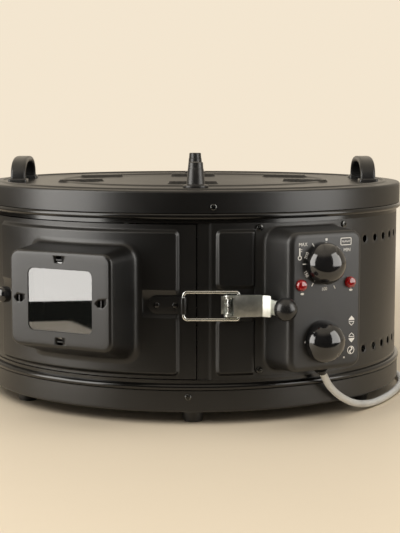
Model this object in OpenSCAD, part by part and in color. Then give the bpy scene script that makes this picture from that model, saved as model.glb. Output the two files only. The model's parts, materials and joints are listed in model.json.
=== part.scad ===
// Round electric drum oven: a short steel drum with a swing-out half wall, toggle latch,
// control box, two ring heaters, a wire rack and a mains lead.
// Azimuths are in degrees from the front (-Y) towards the right (+X).

/* [Drum] */
// Outer radius of the top and bottom covers
cover_r = 215; // [205:1:240]
// Height of the skirt of each cover
skirt_h = 20; // [18:0.5:28]
// Radius of the covers' rounded outer edge
cover_edge_r = 6; // [3:0.5:9]
// Thickness of the drum's sheet steel
sheet_t = 1; // [0.6:0.1:1.4]
// Distance from the covers' rim in to the wall's face
wall_inset = 3; // [2.5:0.25:4]
// Height of each rim bead
bead_h = 6; // [4:0.5:8]
// How far a bead's centre line stands out from the wall
bead_out = 1.2; // [0.8:0.1:1.6]
// How far a rim reaches into the cover's skirt
rim_lap = 12; // [10:0.5:14]
// Height of the strip of rim between a bead and the wall
rim_strip_h = 3.5; // [3:0.5:6]
// Height of the pressed panels over the sheet
panel_rise = 3; // [2:0.5:4]
// Corner radius of the pressed panels
panel_corner = 7; // [5:0.5:10]

/* [Lid pattern] */
// Distances of the pressed rings in from the lid's rim
ring_insets = [111, 77, 14]; // [12:1:140]
// Width of a pressed ring
ring_w = 5; // [3:0.5:6]
// Height of the rings and bars
ring_rise = 1.5; // [1:0.25:2.5]
// Number of raised bars round the lid's middle
bar_count = 6; // [3:1:8]
// Length of a raised bar
bar_l = 50; // [30:1:60]
// Width of a raised bar
bar_w = 10; // [6:1:14]
// Distance of the bars in from the inner ring
bar_in = 24; // [16:1:34]

/* [Feet and screws] */
// Height of the feet
foot_h = 12.5; // [10:0.5:20]
// Diameter of a foot where it meets the pan
foot_top_d = 22; // [18:0.5:28]
// Diameter of a foot at the floor
foot_low_d = 18; // [14:0.5:22]
// Distance of the feet in from the pan's rim
foot_in = 25; // [23:1:60]
// Number of feet
foot_count = 6; // [3:1:8]
// Diameter of the cover screws' heads
screw_head_d = 6; // [5:0.5:8]
// Diameter of the cover screws' shanks
screw_d = 3; // [2.5:0.1:4]
// Number of screws round each cover
cover_screw_count = 4; // [3:1:8]
// Azimuth of the lid's first screw
lid_screw_az = 4.9; // [3:0.1:20]
// Azimuth of the pan's first screw
pan_screw_az = -1.2; // [-20:0.1:20]
// Height of the lid's screws over its skirt's edge
screw_edge = 5.5; // [4.5:0.5:8]

/* [Handles and pegs] */
// Distance of the handles' centre line in from the lid's rim
handle_in = 37; // [30:1:50]
// Length of a handle's arch
handle_l = 96; // [80:1:104]
// Height of a handle's arch
handle_h = 25; // [22:0.5:34]
// Thickness of a handle's arch
handle_t = 6; // [4:0.5:8]
// Width of a handle's band
handle_w = 15; // [12:0.5:18]
// Size of a handle's square foot
handle_foot = 19; // [18:0.5:22]
// Thickness of a handle's foot
handle_foot_t = 3.5; // [2.5:0.25:5]
// Distance of the two pegs in from the lid's rim
peg_in = 55; // [40:1:60]
// Height of a peg
peg_h = 24; // [18:0.5:32]
// Diameter of a peg's flange
peg_flange_d = 24; // [20:0.5:28]
// Diameter of a peg above its flange
peg_d = 17; // [14:0.5:19]
// Diameter of a peg's cap
peg_cap_d = 13; // [10:0.5:15]

/* [Door] */
// Azimuth of the door's latch edge
door_right_az = 1.3; // [0:0.1:2.5]
// Azimuth of the door's hinge edge
door_left_az = -171.5; // [-174:0.5:-170]
// Gap round the door
door_gap = 1; // [0.8:0.1:1.4]
// Azimuth of the window's centre
window_az = -29; // [-31:0.5:-28]
// Distance of the window's face out from the wall
window_out = 35; // [31:0.5:43]
// Half width of the window box at its face
window_half_w = 55; // [54:0.5:57]
// Height of the window's centre over the drum's lower bead
window_up = 77.5; // [74:0.5:80]
// Height of the window box at its face
window_h = 87; // [84:0.5:92]
// Spread of the window box from face to wall, at the sides
window_spread = 1.5; // [0.5:0.5:3]
// Spread of the window box at its top
window_spread_up = 5; // [2:0.5:6]
// Spread of the window box at its bottom
window_spread_low = 12; // [4:0.5:13]
// Width of the clear glass
glass_w = 70; // [60:0.5:74]
// Height of the clear glass
glass_h = 60; // [50:0.5:64]
// Thickness of the glass
glass_t = 4; // [3:0.5:5]
// Overlap of the glass behind its opening
glass_lap = 5; // [4:0.5:6]
// Width of a retaining tab
tab_w = 6; // [4:0.5:9]
// Azimuth of the door knob
knob_az = -53; // [-54.5:0.5:-52]
// Diameter of the door knob
door_knob_d = 15; // [12:0.5:17]
// Length of the door knob
door_knob_l = 18; // [14:0.5:26]
// Diameter of the collar under the door knob
collar_d = 18.5; // [18:0.5:22]
// Height of the collar
collar_h = 4; // [3:0.5:6]

/* [Hinges] */
// Height of a hinge
hinge_h = 36; // [28:1:40]
// Width of a hinge leaf
hinge_leaf_w = 17; // [15:0.5:20]
// Thickness of a hinge leaf
leaf_t = 1.5; // [1:0.1:1.8]
// Outer radius of a hinge knuckle
knuckle_r = 3.2; // [3:0.1:3.4]
// Distance of the hinge pin from the wall's face
hinge_out = 4; // [3.8:0.1:4.4]
// Radius of the hinge pins
hinge_pin_r = 1.5; // [1.2:0.1:2]
// Distance of each hinge from its end of the wall
hinge_end = 25; // [20:1:40]

/* [Latch] */
// Azimuth of the latch lever's pin
latch_az = 8.5; // [8:0.1:9]
// Height of the latch over the lower bead
latch_up = 72.5; // [70:0.5:76]
// Width of the latch lever
lever_w = 19.5; // [17:0.5:20]
// Thickness of the lever's steel
lever_t = 1.5; // [1.2:0.1:2]
// Distance of the lever's pin from the wall
lever_pin_out = 7; // [6.5:0.25:8]
// Radius of the lever's pin
lever_pin_r = 2; // [1.5:0.1:2.2]
// Length of the lever's flat, from its pin
lever_flat_l = 30; // [26:0.5:31]
// Width of the lever's narrow tongue
tongue_w = 16; // [12:0.5:16]
// Distance of the ball from the lever's pin, along the wall
ball_along = 45; // [43:0.5:45.5]
// Distance of the ball from the wall
ball_out = 46; // [45.5:0.5:50]
// Diameter of the ball
ball_d = 20; // [18:0.5:20]
// Thickness of the bail's wire
bail_wire_d = 3; // [2:0.1:3.2]
// Height of the bail between its wires' centres
bail_h = 25; // [24.4:0.1:27]
// Azimuth of the catch's curl on the door
catch_az = -2.3; // [-2.6:0.1:-1.8]
// Distance of the bail's pin from the wall
bail_out = 5.5; // [5:0.1:6.5]
// Distance of the bail's ends past the lever's pin
bail_past = 8.6; // [7:0.2:10]
// Azimuth of the catch plate's round end
catch_end_az = -8.9; // [-9.5:0.1:-8.4]

/* [Control box] */
// Azimuth of the control box's centre
box_az = 29; // [29:0.5:31]
// Distance of the control box's face out from the wall
box_out = 36; // [34:0.5:44]
// Half width of the control box's face
box_half_w = 37.5; // [37:0.5:39]
// Height of the face's lower edge over the lower bead
box_low_up = 14.7; // [13:0.1:16]
// Height of the face
box_h = 124.3; // [110:0.5:140]
// Height of the upper bead over the face's upper edge
box_over = 11; // [10:0.1:14]
// Spread of the control box from face to wall
box_spread = 2.5; // [1:0.25:3]
// Radius of the rounded edges of the pressed boxes
box_edge_r = 5; // [4:0.5:7]
// Width of the control box's flange
flange_w = 10.5; // [9.5:0.5:12]
// Distance of the dials from the face's centre line, to the left
dial_aside = 4; // [2:0.25:6]
// Distance of the thermostat's dial below the face's upper edge
thermostat_down = 27.5; // [26:0.1:31]
// Height of the selector's dial over the face's lower edge
selector_up = 26; // [23:0.1:28]
// Diameter of the dial knobs
dial_d = 36.5; // [34:0.5:38]
// Height of the dial knobs
dial_h = 20; // [16:0.5:24]
// Diameter of the dial shafts
shaft_d = 6; // [5:0.5:6.5]
// Distance of the lamps either side of the dials
lamp_along = 26.5; // [25:0.5:28]
// Distance of the lamps below the thermostat's dial
lamp_down = 18.6; // [16:0.1:20]
// Diameter of a lamp's lens
lamp_d = 10.5; // [9:0.25:12]

/* [Vents] */
// Diameter of a vent hole
vent_d = 7; // [4:0.5:9]
// Distance from hole to hole
vent_pitch = 20; // [14:0.5:26]
// Number of holes in a row
vent_count = 12; // [6:1:18]
// Azimuth of the first hole
vent_az = 51; // [49:0.5:60]
// Height of the lower row over the lower bead
vent_low_up = 19.5; // [16:0.5:30]
// Distance of the upper row below the upper bead
vent_high_down = 24; // [16:0.5:30]

/* [Heating and rack] */
// Radius of the heater rings
heater_ring_r = 120; // [90:1:135]
// Diameter of the heater tube
heater_d = 6.5; // [5:0.5:8]
// Height of each heater from its end of the wall
heater_in = 21; // [20.5:0.5:24]
// Distance of the heaters' legs from the box's centre line
heater_leg = 12; // [10:0.5:16]
// Number of clips on each heater
clip_count = 3; // [3:1:6]
// Radius of the wire rack's ring
rack_r = 150; // [140:1:180]
// Height of the rack's ring over the lower reflector
rack_h = 45; // [40:1:70]
// Thickness of the rack's ring wire
rack_wire_d = 5; // [4:0.5:6]
// Thickness of the rack's cross wires
rack_bar_d = 3; // [2:0.5:4]
// Distance between the rack's cross wires
rack_pitch = 20; // [14:1:30]

/* [Lead] */
// Diameter of the mains lead
cord_d = 6.8; // [6.4:0.1:7]
// Diameter of the plug's body
plug_d = 37; // [34:0.5:38]
// Length of the plug's body
plug_l = 40; // [34:1:50]
// Length of the plug's pins
plug_pin_l = 19; // [17:0.5:20]
// Diameter of the plug's pins
plug_pin_d = 4.8; // [4:0.1:5]

/* [Hidden] */
$fn = 96;
// Running clearance of a shaft in its bore, on the radius
run = 0.05;
// Clearance of a fixed piece in its hole, on the radius
fit = 0.1;
// Overlength of a cutting tool past the faces that it cuts
past = 1;
// Heights, from the floor up
pan_z = foot_h;
low_bead_z = pan_z + skirt_h;
wall_z = low_bead_z + bead_h;
// The wall is as high as the control box needs between the two rim beads
wall_h = box_low_up + box_h + box_over;
wall_top_z = wall_z + wall_h;
lid_z = wall_top_z + bead_h;
top_z = lid_z + skirt_h;
// Screws: head height, grip in a plastic piece and depth of its hole
screw_head_h = 2;
screw_grip = 7;
screw_hole_l = 8;
screw_in = 2;
box_screw_l = 6;
// Wall, door and opening
wall_r = cover_r - wall_inset;
wall_in_r = wall_r - sheet_t;
panel_r = wall_r + panel_rise;
window_rho = wall_r + window_out;
box_rho = wall_r + box_out;
handle_r = cover_r - handle_in;
peg_ring_r = cover_r - peg_in;
foot_ring_r = cover_r - foot_in;
ring_radii = [for (inset = ring_insets) cover_r - inset];
bar_r = ring_radii[0] - bar_in;
sheet_low_z = wall_z + rim_strip_h;
sheet_top_z = wall_top_z - rim_strip_h;
door_low_z = sheet_low_z + door_gap;
door_top_z = sheet_top_z - door_gap;
gap_az = door_gap / wall_r * 180 / PI;
wall_first_az = door_right_az + gap_az;
wall_last_az = 360 + door_left_az - gap_az;
hinge_az = door_left_az - gap_az / 2;
latch_z = wall_z + latch_up;
// Pressed panels: channel for the latch, and the margin to the wall's ends
channel_h = 26;
channel_z = latch_z + 1;
panel_margin_low = 3;
panel_margin_up = 5;
panel_low_z = sheet_low_z + panel_margin_low;
panel_top_z = sheet_top_z - panel_margin_up;
// Pressed panel beside the latch, and the panels of the door
latch_panel_az = [5.6, 15];
latch_panel_zs = [[panel_low_z, channel_z - channel_h / 2], [channel_z + channel_h / 2, panel_top_z]];
window_panel_half_az = 25.4;
channel_az = 15.9;
channel_past_az = 8;
back_panels_az = [[-112, -62], [-166, -118]];
// Window
window_z = wall_z + window_up;
glass_z = window_z - 0.5;
tab_side_gap = 4.5;
tab_end_gap = 2.2;
tab_along = glass_w / 2 + glass_lap + tab_side_gap;
tab_up = glass_h / 2 + glass_lap + tab_end_gap;
retainer_t = 1;
retainer_lap = 2;
tab_t = 1;
tab_reach = 1.2;
glass_corner = 4;
// Growth of the door's window opening over the clear glass, for the light to pass
window_clear = 16;
// Control box
box_low_z = wall_z + box_low_up;
thermostat_z = box_low_z + box_h - thermostat_down;
selector_z = box_low_z + selector_up;
lamp_z = thermostat_z - lamp_down;
flange_half_az = asin((box_half_w + box_spread) / wall_r) + flange_w / wall_r * 180 / PI;
box_screw_inset = 4.5;
flange_low = box_low_z - box_spread - flange_w / 2;
flange_top = box_low_z + box_h + box_spread + flange_w / 2;
// Depth of the pressed boxes inside the wall's face, before the drum is cut away
box_root = 14;
lamp_shift = 1.5;
edge_steps = 6;
device_size = 32;
device_depth = 22;
bush_r = 4.5;
bush_out = 3;
shaft_floor = 4;
shaft_float = 1;
knob_roof = 6;
knob_gap = 0.6;
knob_rim_h = 6;
knob_bush_gap = 1;
notch = [1.2, 6, 9];
lamp_body_d = 8.6;
lamp_body_l = 16;
// Thermostat bulb inside the oven and its capillary
probe_az = box_az + 7;
probe_down = 22;
probe_z = thermostat_z - probe_down;
probe_r = 2.5;
probe_l = 60;
probe_in = 8;
probe_clip_w = 10;
probe_clip_t = 1.5;
capillary_r = 1;
capillary_out = 8;
capillary_l = 14;
// Handles: their arch's corner as a share of its height, and their feet's corners
arch_roundness = 0.8;
handle_foot_corner = 3;
// Heaters and reflectors
reflector_z = wall_z - 2;
reflector_top_z = wall_top_z + 1;
reflector_lip = 6;
reflector_gap = 0.3;
rack_leg_d = rack_wire_d - 1;
heater_low_z = wall_z + heater_in;
heater_top_z = wall_top_z - heater_in;
heater_bend_az = asin(heater_leg / heater_ring_r);
heater_bush_r = 6;
heater_bush_l = 12;
heater_end = 8;
elbow_swell = 2;
seam_turn = 40;
clip_w = 7;
clip_reach = heater_d / 2 + 2;
// Hinges
knuckle_gap = 0.3;
leaf_clear = 0.5;
rivet_r = 1.5;
rivet_head_r = 3;
rivet_head_h = 1.6;
rivet_dome_r = 4;
rivet_past = 1;
leaf_start = sqrt(pow(knuckle_r + leaf_clear, 2) - pow(hinge_out - leaf_t, 2));
tongue_lap = 0.5;
hinge_rivet_end = 7;
hinge_pin_head = 1.5;
hinge_pin_past = 1;
hinge_zs = [wall_z + hinge_end, wall_top_z - hinge_end - hinge_h];
// Latch: catch, bail and lever, in plan
base_half_w = 6;
ear_t = 1.5;
ear_r = 4;
ear_gap = 0.15;
latch_pin_past = 0.2;
catch_plate_t = 1.6;
catch_plate_h = 16;
catch_l = wall_r * sin(catch_az - catch_end_az);
catch_rivet_along = 2.1;
catch_rivet_az = [catch_end_az, catch_az - catch_rivet_along];
curl_wall = 1.5;
bail_end_out = 9;
bail_corner = 4;
bail_hook = 2.2;
curl_half = bail_h / 2 - bail_corner - 1;
function from_az(az, r) = [r * sin(az), -r * cos(az)];
bail_pin_xy = from_az(catch_az, wall_r + bail_out);
bail_end_xy = from_az(latch_az, wall_r + bail_end_out) + bail_past * [cos(latch_az), sin(latch_az)];
bail_l = norm(bail_end_xy - bail_pin_xy);
bail_turn = atan2(bail_end_xy[1] - bail_pin_xy[1], bail_end_xy[0] - bail_pin_xy[0]);
flat_out = lever_pin_out + 5;
crank = [ball_along - lever_flat_l, ball_out - flat_out];
crank_turn = atan2(crank[1], crank[0]);
crank_l = norm(crank) - ball_d / 2;
crank_wide_l = 13;
crank_inset = 0.3;
lever_eye_r = 4.6;
lever_start = 4;
lever_side_h = 3;
stud_r = 2.5;
stud_l = 6;
stud_in = 8;
ball_flat = 4;
// Lead: its route on the floor, from the gland round the right side to the coil
cord_r = cord_d / 2;
// The covers' radius that the route is given for, and the points that hang clear of the floor
route_r = 215;
route_share = cover_r / route_r;
hang_count = 5;
gland_down = 21.2;
lead_points = [
    [133, -183, 32], [135, -182, 25], [139, -180, 15], [144.5, -177, 9], [151.5, -173, 5],
    [159, -168, 3.5], [166, -161.5, 3.5], [172, -153.5, 3.5], [177.5, -144.5, 3.5], [184, -132, 3.5],
    [191, -117, 3.5], [198, -101.5, 3.5], [207, -79, 3.5], [214, -56, 3.5], [219, -33, 3.5],
    [221.5, -10, 3.5], [221.5, 13, 3.5], [218.5, 37, 3.5], [212.5, 61, 3.5], [204, 84, 3.5],
    [194.5, 107, 3.5], [185.5, 130, 3.5], [178, 153, 3.5], [172, 176, 3.5], [168, 199, 3.8],
    [166.4, 213, 4.4], [166, 223, 4.6], [166, 232, 4.6]
];
lead_floor_z = lead_points[hang_count][2];
hang_share = (box_low_z - gland_down - lead_floor_z) / (lead_points[0][2] - lead_floor_z);
lead_route = [for (i = [0 : len(lead_points) - 1]) let (p = lead_points[i]) [
    p[0] * route_share, p[1] * route_share,
    i < hang_count ? lead_floor_z + (p[2] - lead_floor_z) * hang_share : p[2]
]];
lead_end = lead_route[len(lead_route) - 1];
// Coil: centre, outer radius, turns and steps of its spiral
coil_r = 46;
coil_end = 8;
coil_xy = lead_end + [-coil_r, coil_end, 0];
coil_turns = 4.25;
coil_pitch = 7.6;
coil_low_z = 4.6;
coil_climb = 0.5;
coil_rings = 24;
// End of the lead, from the coil down its side to the plug that lies on the floor
tail_start = [coil_xy[0] - coil_end, coil_xy[1] + coil_r, coil_low_z + coil_pitch];
plug_floor = 0.5;
plug_rise = plug_d / 2 + plug_floor - tail_start[2];
tail_route = [for (step = [
    [0, 0, 0], [-8, 0, 0], [-17, -0.4, 1], [-27, -1.1, 3.2], [-36, -1.7, plug_rise - 1.2],
    [-45, -2, plug_rise], [-54, -2, plug_rise]
]) tail_start + step];
tube_sides = 10;
coil_sides = 6;
tie_t = 1;
tie_w = 10;
tie_turn = 0.625;
tie_gap = 0.6;
gland_l = 28;
gland_r = 6;
gland_tip_r = 4.6;
gland_collar_r = 8;
gland_collar_h = 3;
plug_relief_l = 20;
plug_relief_r = 7;
plug_step = 3;
plug_pin_gap = 19;

// A place on the drum: children have x along the wall, -y outwards and z up
module at_az(az, r = 0, z = 0) {
    rotate([0, 0, az]) translate([0, -r, z]) children();
}

// Turns a shape that stands on z so that it stands outwards
module outwards() {
    rotate([90, 0, 0]) children();
}

// A rod along the radius, from one radius to another
module radial_rod(az, z, r0, r1, rod_r) {
    at_az(az, r0, z) outwards() cylinder(r = rod_r, h = r1 - r0);
}

// A curved sheet between two azimuths and two heights
module arc_sheet(r0, r1, az0, az1, z0, z1) {
    rotate([0, 0, az0 - 90]) rotate_extrude(angle = az1 - az0)
        translate([r0, z0]) square([r1 - r0, z1 - z0]);
}

// Points of a round corner of an outline, from one angle to another
function round_corner(centre, r, from, to, steps = edge_steps) =
    [for (k = [0 : steps]) let (a = from + (to - from) * k / steps) centre + r * [cos(a), sin(a)]];

// A rectangle with round corners
module rounded_rect(w, h, corner) {
    x = w / 2 - corner;
    y = h / 2 - corner;
    polygon(concat(
        round_corner([x, y], corner, 0, 90), round_corner([-x, y], corner, 90, 180),
        round_corner([-x, -y], corner, 180, 270), round_corner([x, -y], corner, 270, 360)
    ));
}

// A ring sector with rounded corners, seen along the radius of its middle
module pad(r0, r1, az0, az1, z0, z1, corner) {
    intersection() {
        arc_sheet(r0, r1, az0 - past, az1 + past, z0 - past, z1 + past);
        at_az((az0 + az1) / 2, r0 * cos((az1 - az0) / 2) - past, (z0 + z1) / 2) outwards()
            linear_extrude(r1)
                rounded_rect(2 * r1 * sin((az1 - az0) / 2), z1 - z0, corner);
    }
}

// The hollow under a pressed panel, one sheet smaller all round
module pad_hollow(r1, az0, az1, z0, z1) {
    inset_az = sheet_t / r1 * 180 / PI;
    pad(wall_in_r - past, r1 - sheet_t, az0 + inset_az, az1 - inset_az,
        z0 + sheet_t, z1 - sheet_t, panel_corner - sheet_t);
}

// Profile of a disc with a skirt and a rounded edge
module dish_profile(r, h, edge) {
    square([r - edge, h]);
    square([r, h - edge]);
    translate([r - edge, h - edge]) circle(edge);
}

// A cover standing on its skirt's edge at z 0
module cover_shell() {
    rotate_extrude() difference() {
        intersection() {
            dish_profile(cover_r, skirt_h, cover_edge_r);
            square([cover_r, skirt_h]);
        }
        dish_profile(cover_r - sheet_t, skirt_h - sheet_t, cover_edge_r - sheet_t);
    }
}

module cover_screw_holes(first_az, z) {
    for (k = [0 : cover_screw_count - 1])
        radial_rod(first_az + k * 360 / cover_screw_count, z, wall_in_r - past,
            cover_r + past, screw_d / 2 + fit);
}

module bottom_cover() {
    color("#1c1c1c") difference() {
        translate([0, 0, pan_z + skirt_h]) rotate([180, 0, 0]) cover_shell();
        cover_screw_holes(pan_screw_az, low_bead_z - screw_edge);
        for (k = [0 : foot_count - 1])
            at_az(k * 360 / foot_count, foot_ring_r, pan_z - past)
                cylinder(r = screw_d / 2 + fit, h = sheet_t + 2 * past);
    }
}

// Places of the handles' feet: children stand on the lid
module at_handle_feet(az) {
    for (side = [-1, 1])
        at_az(az, handle_r, top_z) translate([side * (handle_l - handle_t) / 2, 0, 0]) children();
}

module at_pegs() {
    for (az = [0, 180]) at_az(az, peg_ring_r, top_z) children();
}

module lid_hole() {
    translate([0, 0, -sheet_t - past]) cylinder(r = screw_d / 2 + fit, h = sheet_t + 2 * past);
}

module top_cover() {
    color("#1c1c1c") difference() {
        union() {
            translate([0, 0, lid_z]) cover_shell();
            for (r = ring_radii)
                translate([0, 0, top_z - sheet_t]) rotate_extrude()
                    translate([r - ring_w / 2, 0]) square([ring_w, sheet_t + ring_rise]);
            for (k = [0 : bar_count - 1])
                at_az(k * 360 / bar_count, bar_r, top_z - sheet_t)
                    linear_extrude(sheet_t + ring_rise) rounded_rect(bar_l, bar_w, bar_w / 2 - fit);
        }
        cover_screw_holes(lid_screw_az, lid_z + screw_edge);
        for (az = [-90, 90]) at_handle_feet(az) lid_hole();
        at_pegs() lid_hole();
    }
}

// A rim: sheet with a rolled bead, its bead's lower edge at z 0 and the lap above it
module rim_profile() {
    translate([wall_in_r, -rim_strip_h]) square([sheet_t, rim_strip_h + bead_h + rim_lap]);
    translate([wall_in_r, 0]) square([sheet_t + bead_out, bead_h]);
    intersection() {
        translate([wall_r + bead_out, bead_h / 2]) circle(bead_h / 2);
        translate([wall_r, 0]) square(bead_h);
    }
}

module lower_rim() {
    color("#161616") difference() {
        translate([0, 0, wall_z]) mirror([0, 0, 1]) rotate_extrude() rim_profile();
        cover_screw_holes(pan_screw_az, low_bead_z - screw_edge);
    }
}

module upper_rim() {
    color("#161616") difference() {
        translate([0, 0, wall_top_z]) rotate_extrude() rim_profile();
        cover_screw_holes(lid_screw_az, lid_z + screw_edge);
    }
}

module cover_screw(az, z) {
    radial_rod(az, z, wall_in_r - screw_in, cover_r, screw_d / 2);
    radial_rod(az, z, cover_r, cover_r + screw_head_h, screw_head_d / 2);
}

module cover_screws() {
    color("#3a3a3a") for (k = [0 : cover_screw_count - 1]) {
        cover_screw(lid_screw_az + k * 360 / cover_screw_count, lid_z + screw_edge);
        cover_screw(pan_screw_az + k * 360 / cover_screw_count, low_bead_z - screw_edge);
    }
}

module vent_rows() {
    for (k = [0 : vent_count - 1], z = [wall_z + vent_low_up, wall_top_z - vent_high_down])
        radial_rod(vent_az + k * vent_pitch / wall_r * 180 / PI, z, wall_in_r - past,
            wall_r + past, vent_d / 2);
}

module latch_panel(z) {
    pad(wall_r - fit, panel_r, latch_panel_az[0], latch_panel_az[1], z[0], z[1], panel_corner);
}

module at_heater_legs() {
    for (side = [-1, 1], z = [heater_low_z, heater_top_z])
        at_az(box_az, 0, z) translate([side * heater_leg, 0, 0]) outwards() children();
}

module drum_wall() {
    color("#1c1c1c") difference() {
        union() {
            union() {
                arc_sheet(wall_in_r, wall_r, wall_first_az, wall_last_az, sheet_low_z, sheet_top_z);
                latch_panel(latch_panel_zs[0]);
            }
            latch_panel(latch_panel_zs[1]);
        }
        for (z = latch_panel_zs)
            pad_hollow(panel_r, latch_panel_az[0], latch_panel_az[1], z[0], z[1]);
        vent_rows();
        at_heater_legs() translate([0, 0, wall_in_r - 3 * past])
            cylinder(r = heater_bush_r + fit, h = sheet_t + 6 * past);
        radial_rod(probe_az, probe_z, wall_in_r - past, wall_r + past, capillary_r + fit);
        radial_rod(latch_az, latch_z, wall_in_r - past, wall_r + past, rivet_r + fit);
        at_hinge_rivets(-1) cylinder(r = rivet_r + fit, h = 8 * past, center = true);
        at_box_screws() cylinder(r = screw_d / 2 + fit, h = 8 * past, center = true);
    }
}

module feet() {
    color("#151515") for (k = [0 : foot_count - 1]) at_az(k * 360 / foot_count, foot_ring_r)
        difference() {
            cylinder(d1 = foot_low_d, d2 = foot_top_d, h = foot_h);
            translate([0, 0, foot_h - screw_hole_l]) cylinder(r = screw_d / 2 + fit, h = screw_hole_l + past);
        }
}

module foot_screws() {
    color("silver") for (k = [0 : foot_count - 1]) at_az(k * 360 / foot_count, foot_ring_r) {
        translate([0, 0, pan_z - screw_grip]) cylinder(d = screw_d, h = screw_grip + sheet_t);
        translate([0, 0, pan_z + sheet_t]) cylinder(d = screw_head_d, h = screw_head_h);
    }
}

// A handle's arch, in the plane of its length and height
module arch_profile(l, h, corner) {
    polygon(concat(
        [[0, 0], [l, 0]],
        round_corner([l - corner, h - corner], corner, 0, 90),
        round_corner([corner, h - corner], corner, 90, 180)
    ));
}

module lid_handle(az) {
    arch_corner = handle_h * arch_roundness;
    color("#202020") difference() {
        union() {
            at_az(az, handle_r - handle_w / 2, top_z) translate([-handle_l / 2, 0, 0]) outwards()
                linear_extrude(handle_w) difference() {
                    arch_profile(handle_l, handle_h, arch_corner);
                    translate([handle_t, -past])
                        arch_profile(handle_l - 2 * handle_t, handle_h - handle_t + past,
                            arch_corner - handle_t);
                }
            at_handle_feet(az) linear_extrude(handle_foot_t)
                rounded_rect(handle_foot, handle_foot, handle_foot_corner);
        }
        at_handle_feet(az) translate([0, 0, -past])
            cylinder(r = screw_d / 2 + fit, h = screw_hole_l + past);
    }
}

module left_handle() lid_handle(-90);

module right_handle() lid_handle(90);

// A screw up through the lid, its head below the sheet
module lid_screw() {
    translate([0, 0, -sheet_t]) cylinder(d = screw_d, h = sheet_t + screw_grip);
    translate([0, 0, -sheet_t - screw_head_h]) cylinder(d = screw_head_d, h = screw_head_h);
}

module handle_screws() {
    color("silver") for (az = [-90, 90]) at_handle_feet(az) lid_screw();
}

module top_pegs() {
    groove_h = 6;
    groove_step = 1;
    flange_h = 3;
    color("#202020") at_pegs() difference() {
        union() {
            cylinder(d = peg_flange_d, h = flange_h);
            cylinder(d1 = peg_d, d2 = peg_cap_d + groove_step, h = peg_h - groove_h);
            cylinder(d = peg_cap_d, h = peg_h);
        }
        translate([0, 0, -past]) cylinder(r = screw_d / 2 + fit, h = screw_hole_l + past);
    }
}

module peg_screws() {
    color("silver") at_pegs() lid_screw();
}

// A reflector plate with a turned lip, its lip pointing away from the oven space
module reflector_profile() {
    r = wall_in_r - reflector_gap;
    square([r, sheet_t]);
    translate([r - sheet_t, -reflector_lip]) square([sheet_t, reflector_lip + sheet_t]);
}

module lower_reflector() {
    color("#9aa0a4") translate([0, 0, reflector_z]) rotate_extrude() reflector_profile();
}

module upper_reflector() {
    color("#9aa0a4") translate([0, 0, reflector_top_z + sheet_t]) mirror([0, 0, 1])
        rotate_extrude() reflector_profile();
}

// A ring heater whose two legs run out side by side through the wall
module heater(z) {
    color("#6b6460") {
        translate([0, 0, z]) rotate([0, 0, box_az + heater_bend_az - 90])
            rotate_extrude(angle = 360 - 2 * heater_bend_az)
                translate([heater_ring_r, 0]) rotate(seam_turn) circle(d = heater_d);
        for (side = [-1, 1]) at_az(box_az, 0, z) translate([side * heater_leg, 0, 0]) outwards() {
            bend_rho = heater_ring_r * cos(heater_bend_az);
            translate([0, 0, bend_rho]) sphere(d = heater_d + elbow_swell);
            translate([0, 0, bend_rho]) cylinder(d = heater_d, h = wall_r + heater_end - bend_rho);
        }
    }
}

module lower_heater() heater(heater_low_z);

module upper_heater() heater(heater_top_z);

// A clip from a reflector to the heater tube
module heater_clip(z0, z1, heater_z) {
    difference() {
        translate([-clip_w / 2, -clip_reach, z0]) cube([clip_w, 2 * clip_reach, z1 - z0]);
        translate([0, heater_ring_r, heater_z]) rotate_extrude()
            translate([heater_ring_r, 0]) circle(r = heater_d / 2 + fit);
    }
}

module heater_clips() {
    color("silver") for (k = [0 : clip_count - 1])
        at_az(box_az + (k + 0.5) * 360 / clip_count, heater_ring_r) {
            heater_clip(reflector_z + sheet_t, heater_low_z + clip_reach, heater_low_z);
            heater_clip(heater_top_z - clip_reach, reflector_top_z, heater_top_z);
        }
}

module heater_bushes() {
    color("ivory") at_heater_legs() translate([0, 0, wall_r - heater_bush_l / 2]) difference() {
        cylinder(r = heater_bush_r, h = heater_bush_l);
        translate([0, 0, -past]) cylinder(r = heater_d / 2 + fit, h = heater_bush_l + 2 * past);
    }
}

module wire_rack() {
    ring_z = reflector_z + sheet_t + rack_h;
    bars = floor((rack_r - rack_wire_d) / rack_pitch);
    color("silver") {
        translate([0, 0, ring_z]) rotate_extrude() translate([rack_r, 0]) circle(d = rack_wire_d);
        for (k = [-bars : bars]) {
            x = k * rack_pitch;
            half = sqrt(rack_r * rack_r - x * x);
            translate([x, half, ring_z + rack_bar_d / 2]) outwards()
                cylinder(d = rack_bar_d, h = 2 * half);
        }
        for (az = [45 : 90 : 315]) at_az(az, rack_r, reflector_z + sheet_t)
            cylinder(d = rack_leg_d, h = rack_h);
    }
}

// A pressed box with sloping sides, shrunk by an inset all round
module pressed_box(rho0, rho1, half, z0, z1, spread, spread_low, spread_up, inset) {
    edge = box_edge_r - inset;
    face_half = half - inset;
    near = -rho1 + inset + edge;
    low = z0 + inset;
    high = z1 - inset;
    // Growth of each side from the face back to the box's inner end
    back = (rho1 - rho0) / (rho1 - wall_r);
    intersection() {
        translate([0, 0, z0 - spread_low * back]) linear_extrude(z1 - z0 + (spread_low + spread_up) * back)
            polygon(concat(
                [[face_half + spread * back, -rho0], [-face_half - spread * back, -rho0]],
                round_corner([edge - face_half, near], edge, 180, 270),
                round_corner([face_half - edge, near], edge, 270, 360)
            ));
        rotate([90, 0, 90]) translate([0, 0, -2 * half]) linear_extrude(4 * half)
            polygon(concat(
                [[-rho0, low - spread_low * back], [-rho0, high + spread_up * back]],
                round_corner([near, high - edge], edge, 90, 180),
                round_corner([near, low + edge], edge, 180, 270)
            ));
    }
}

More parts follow.
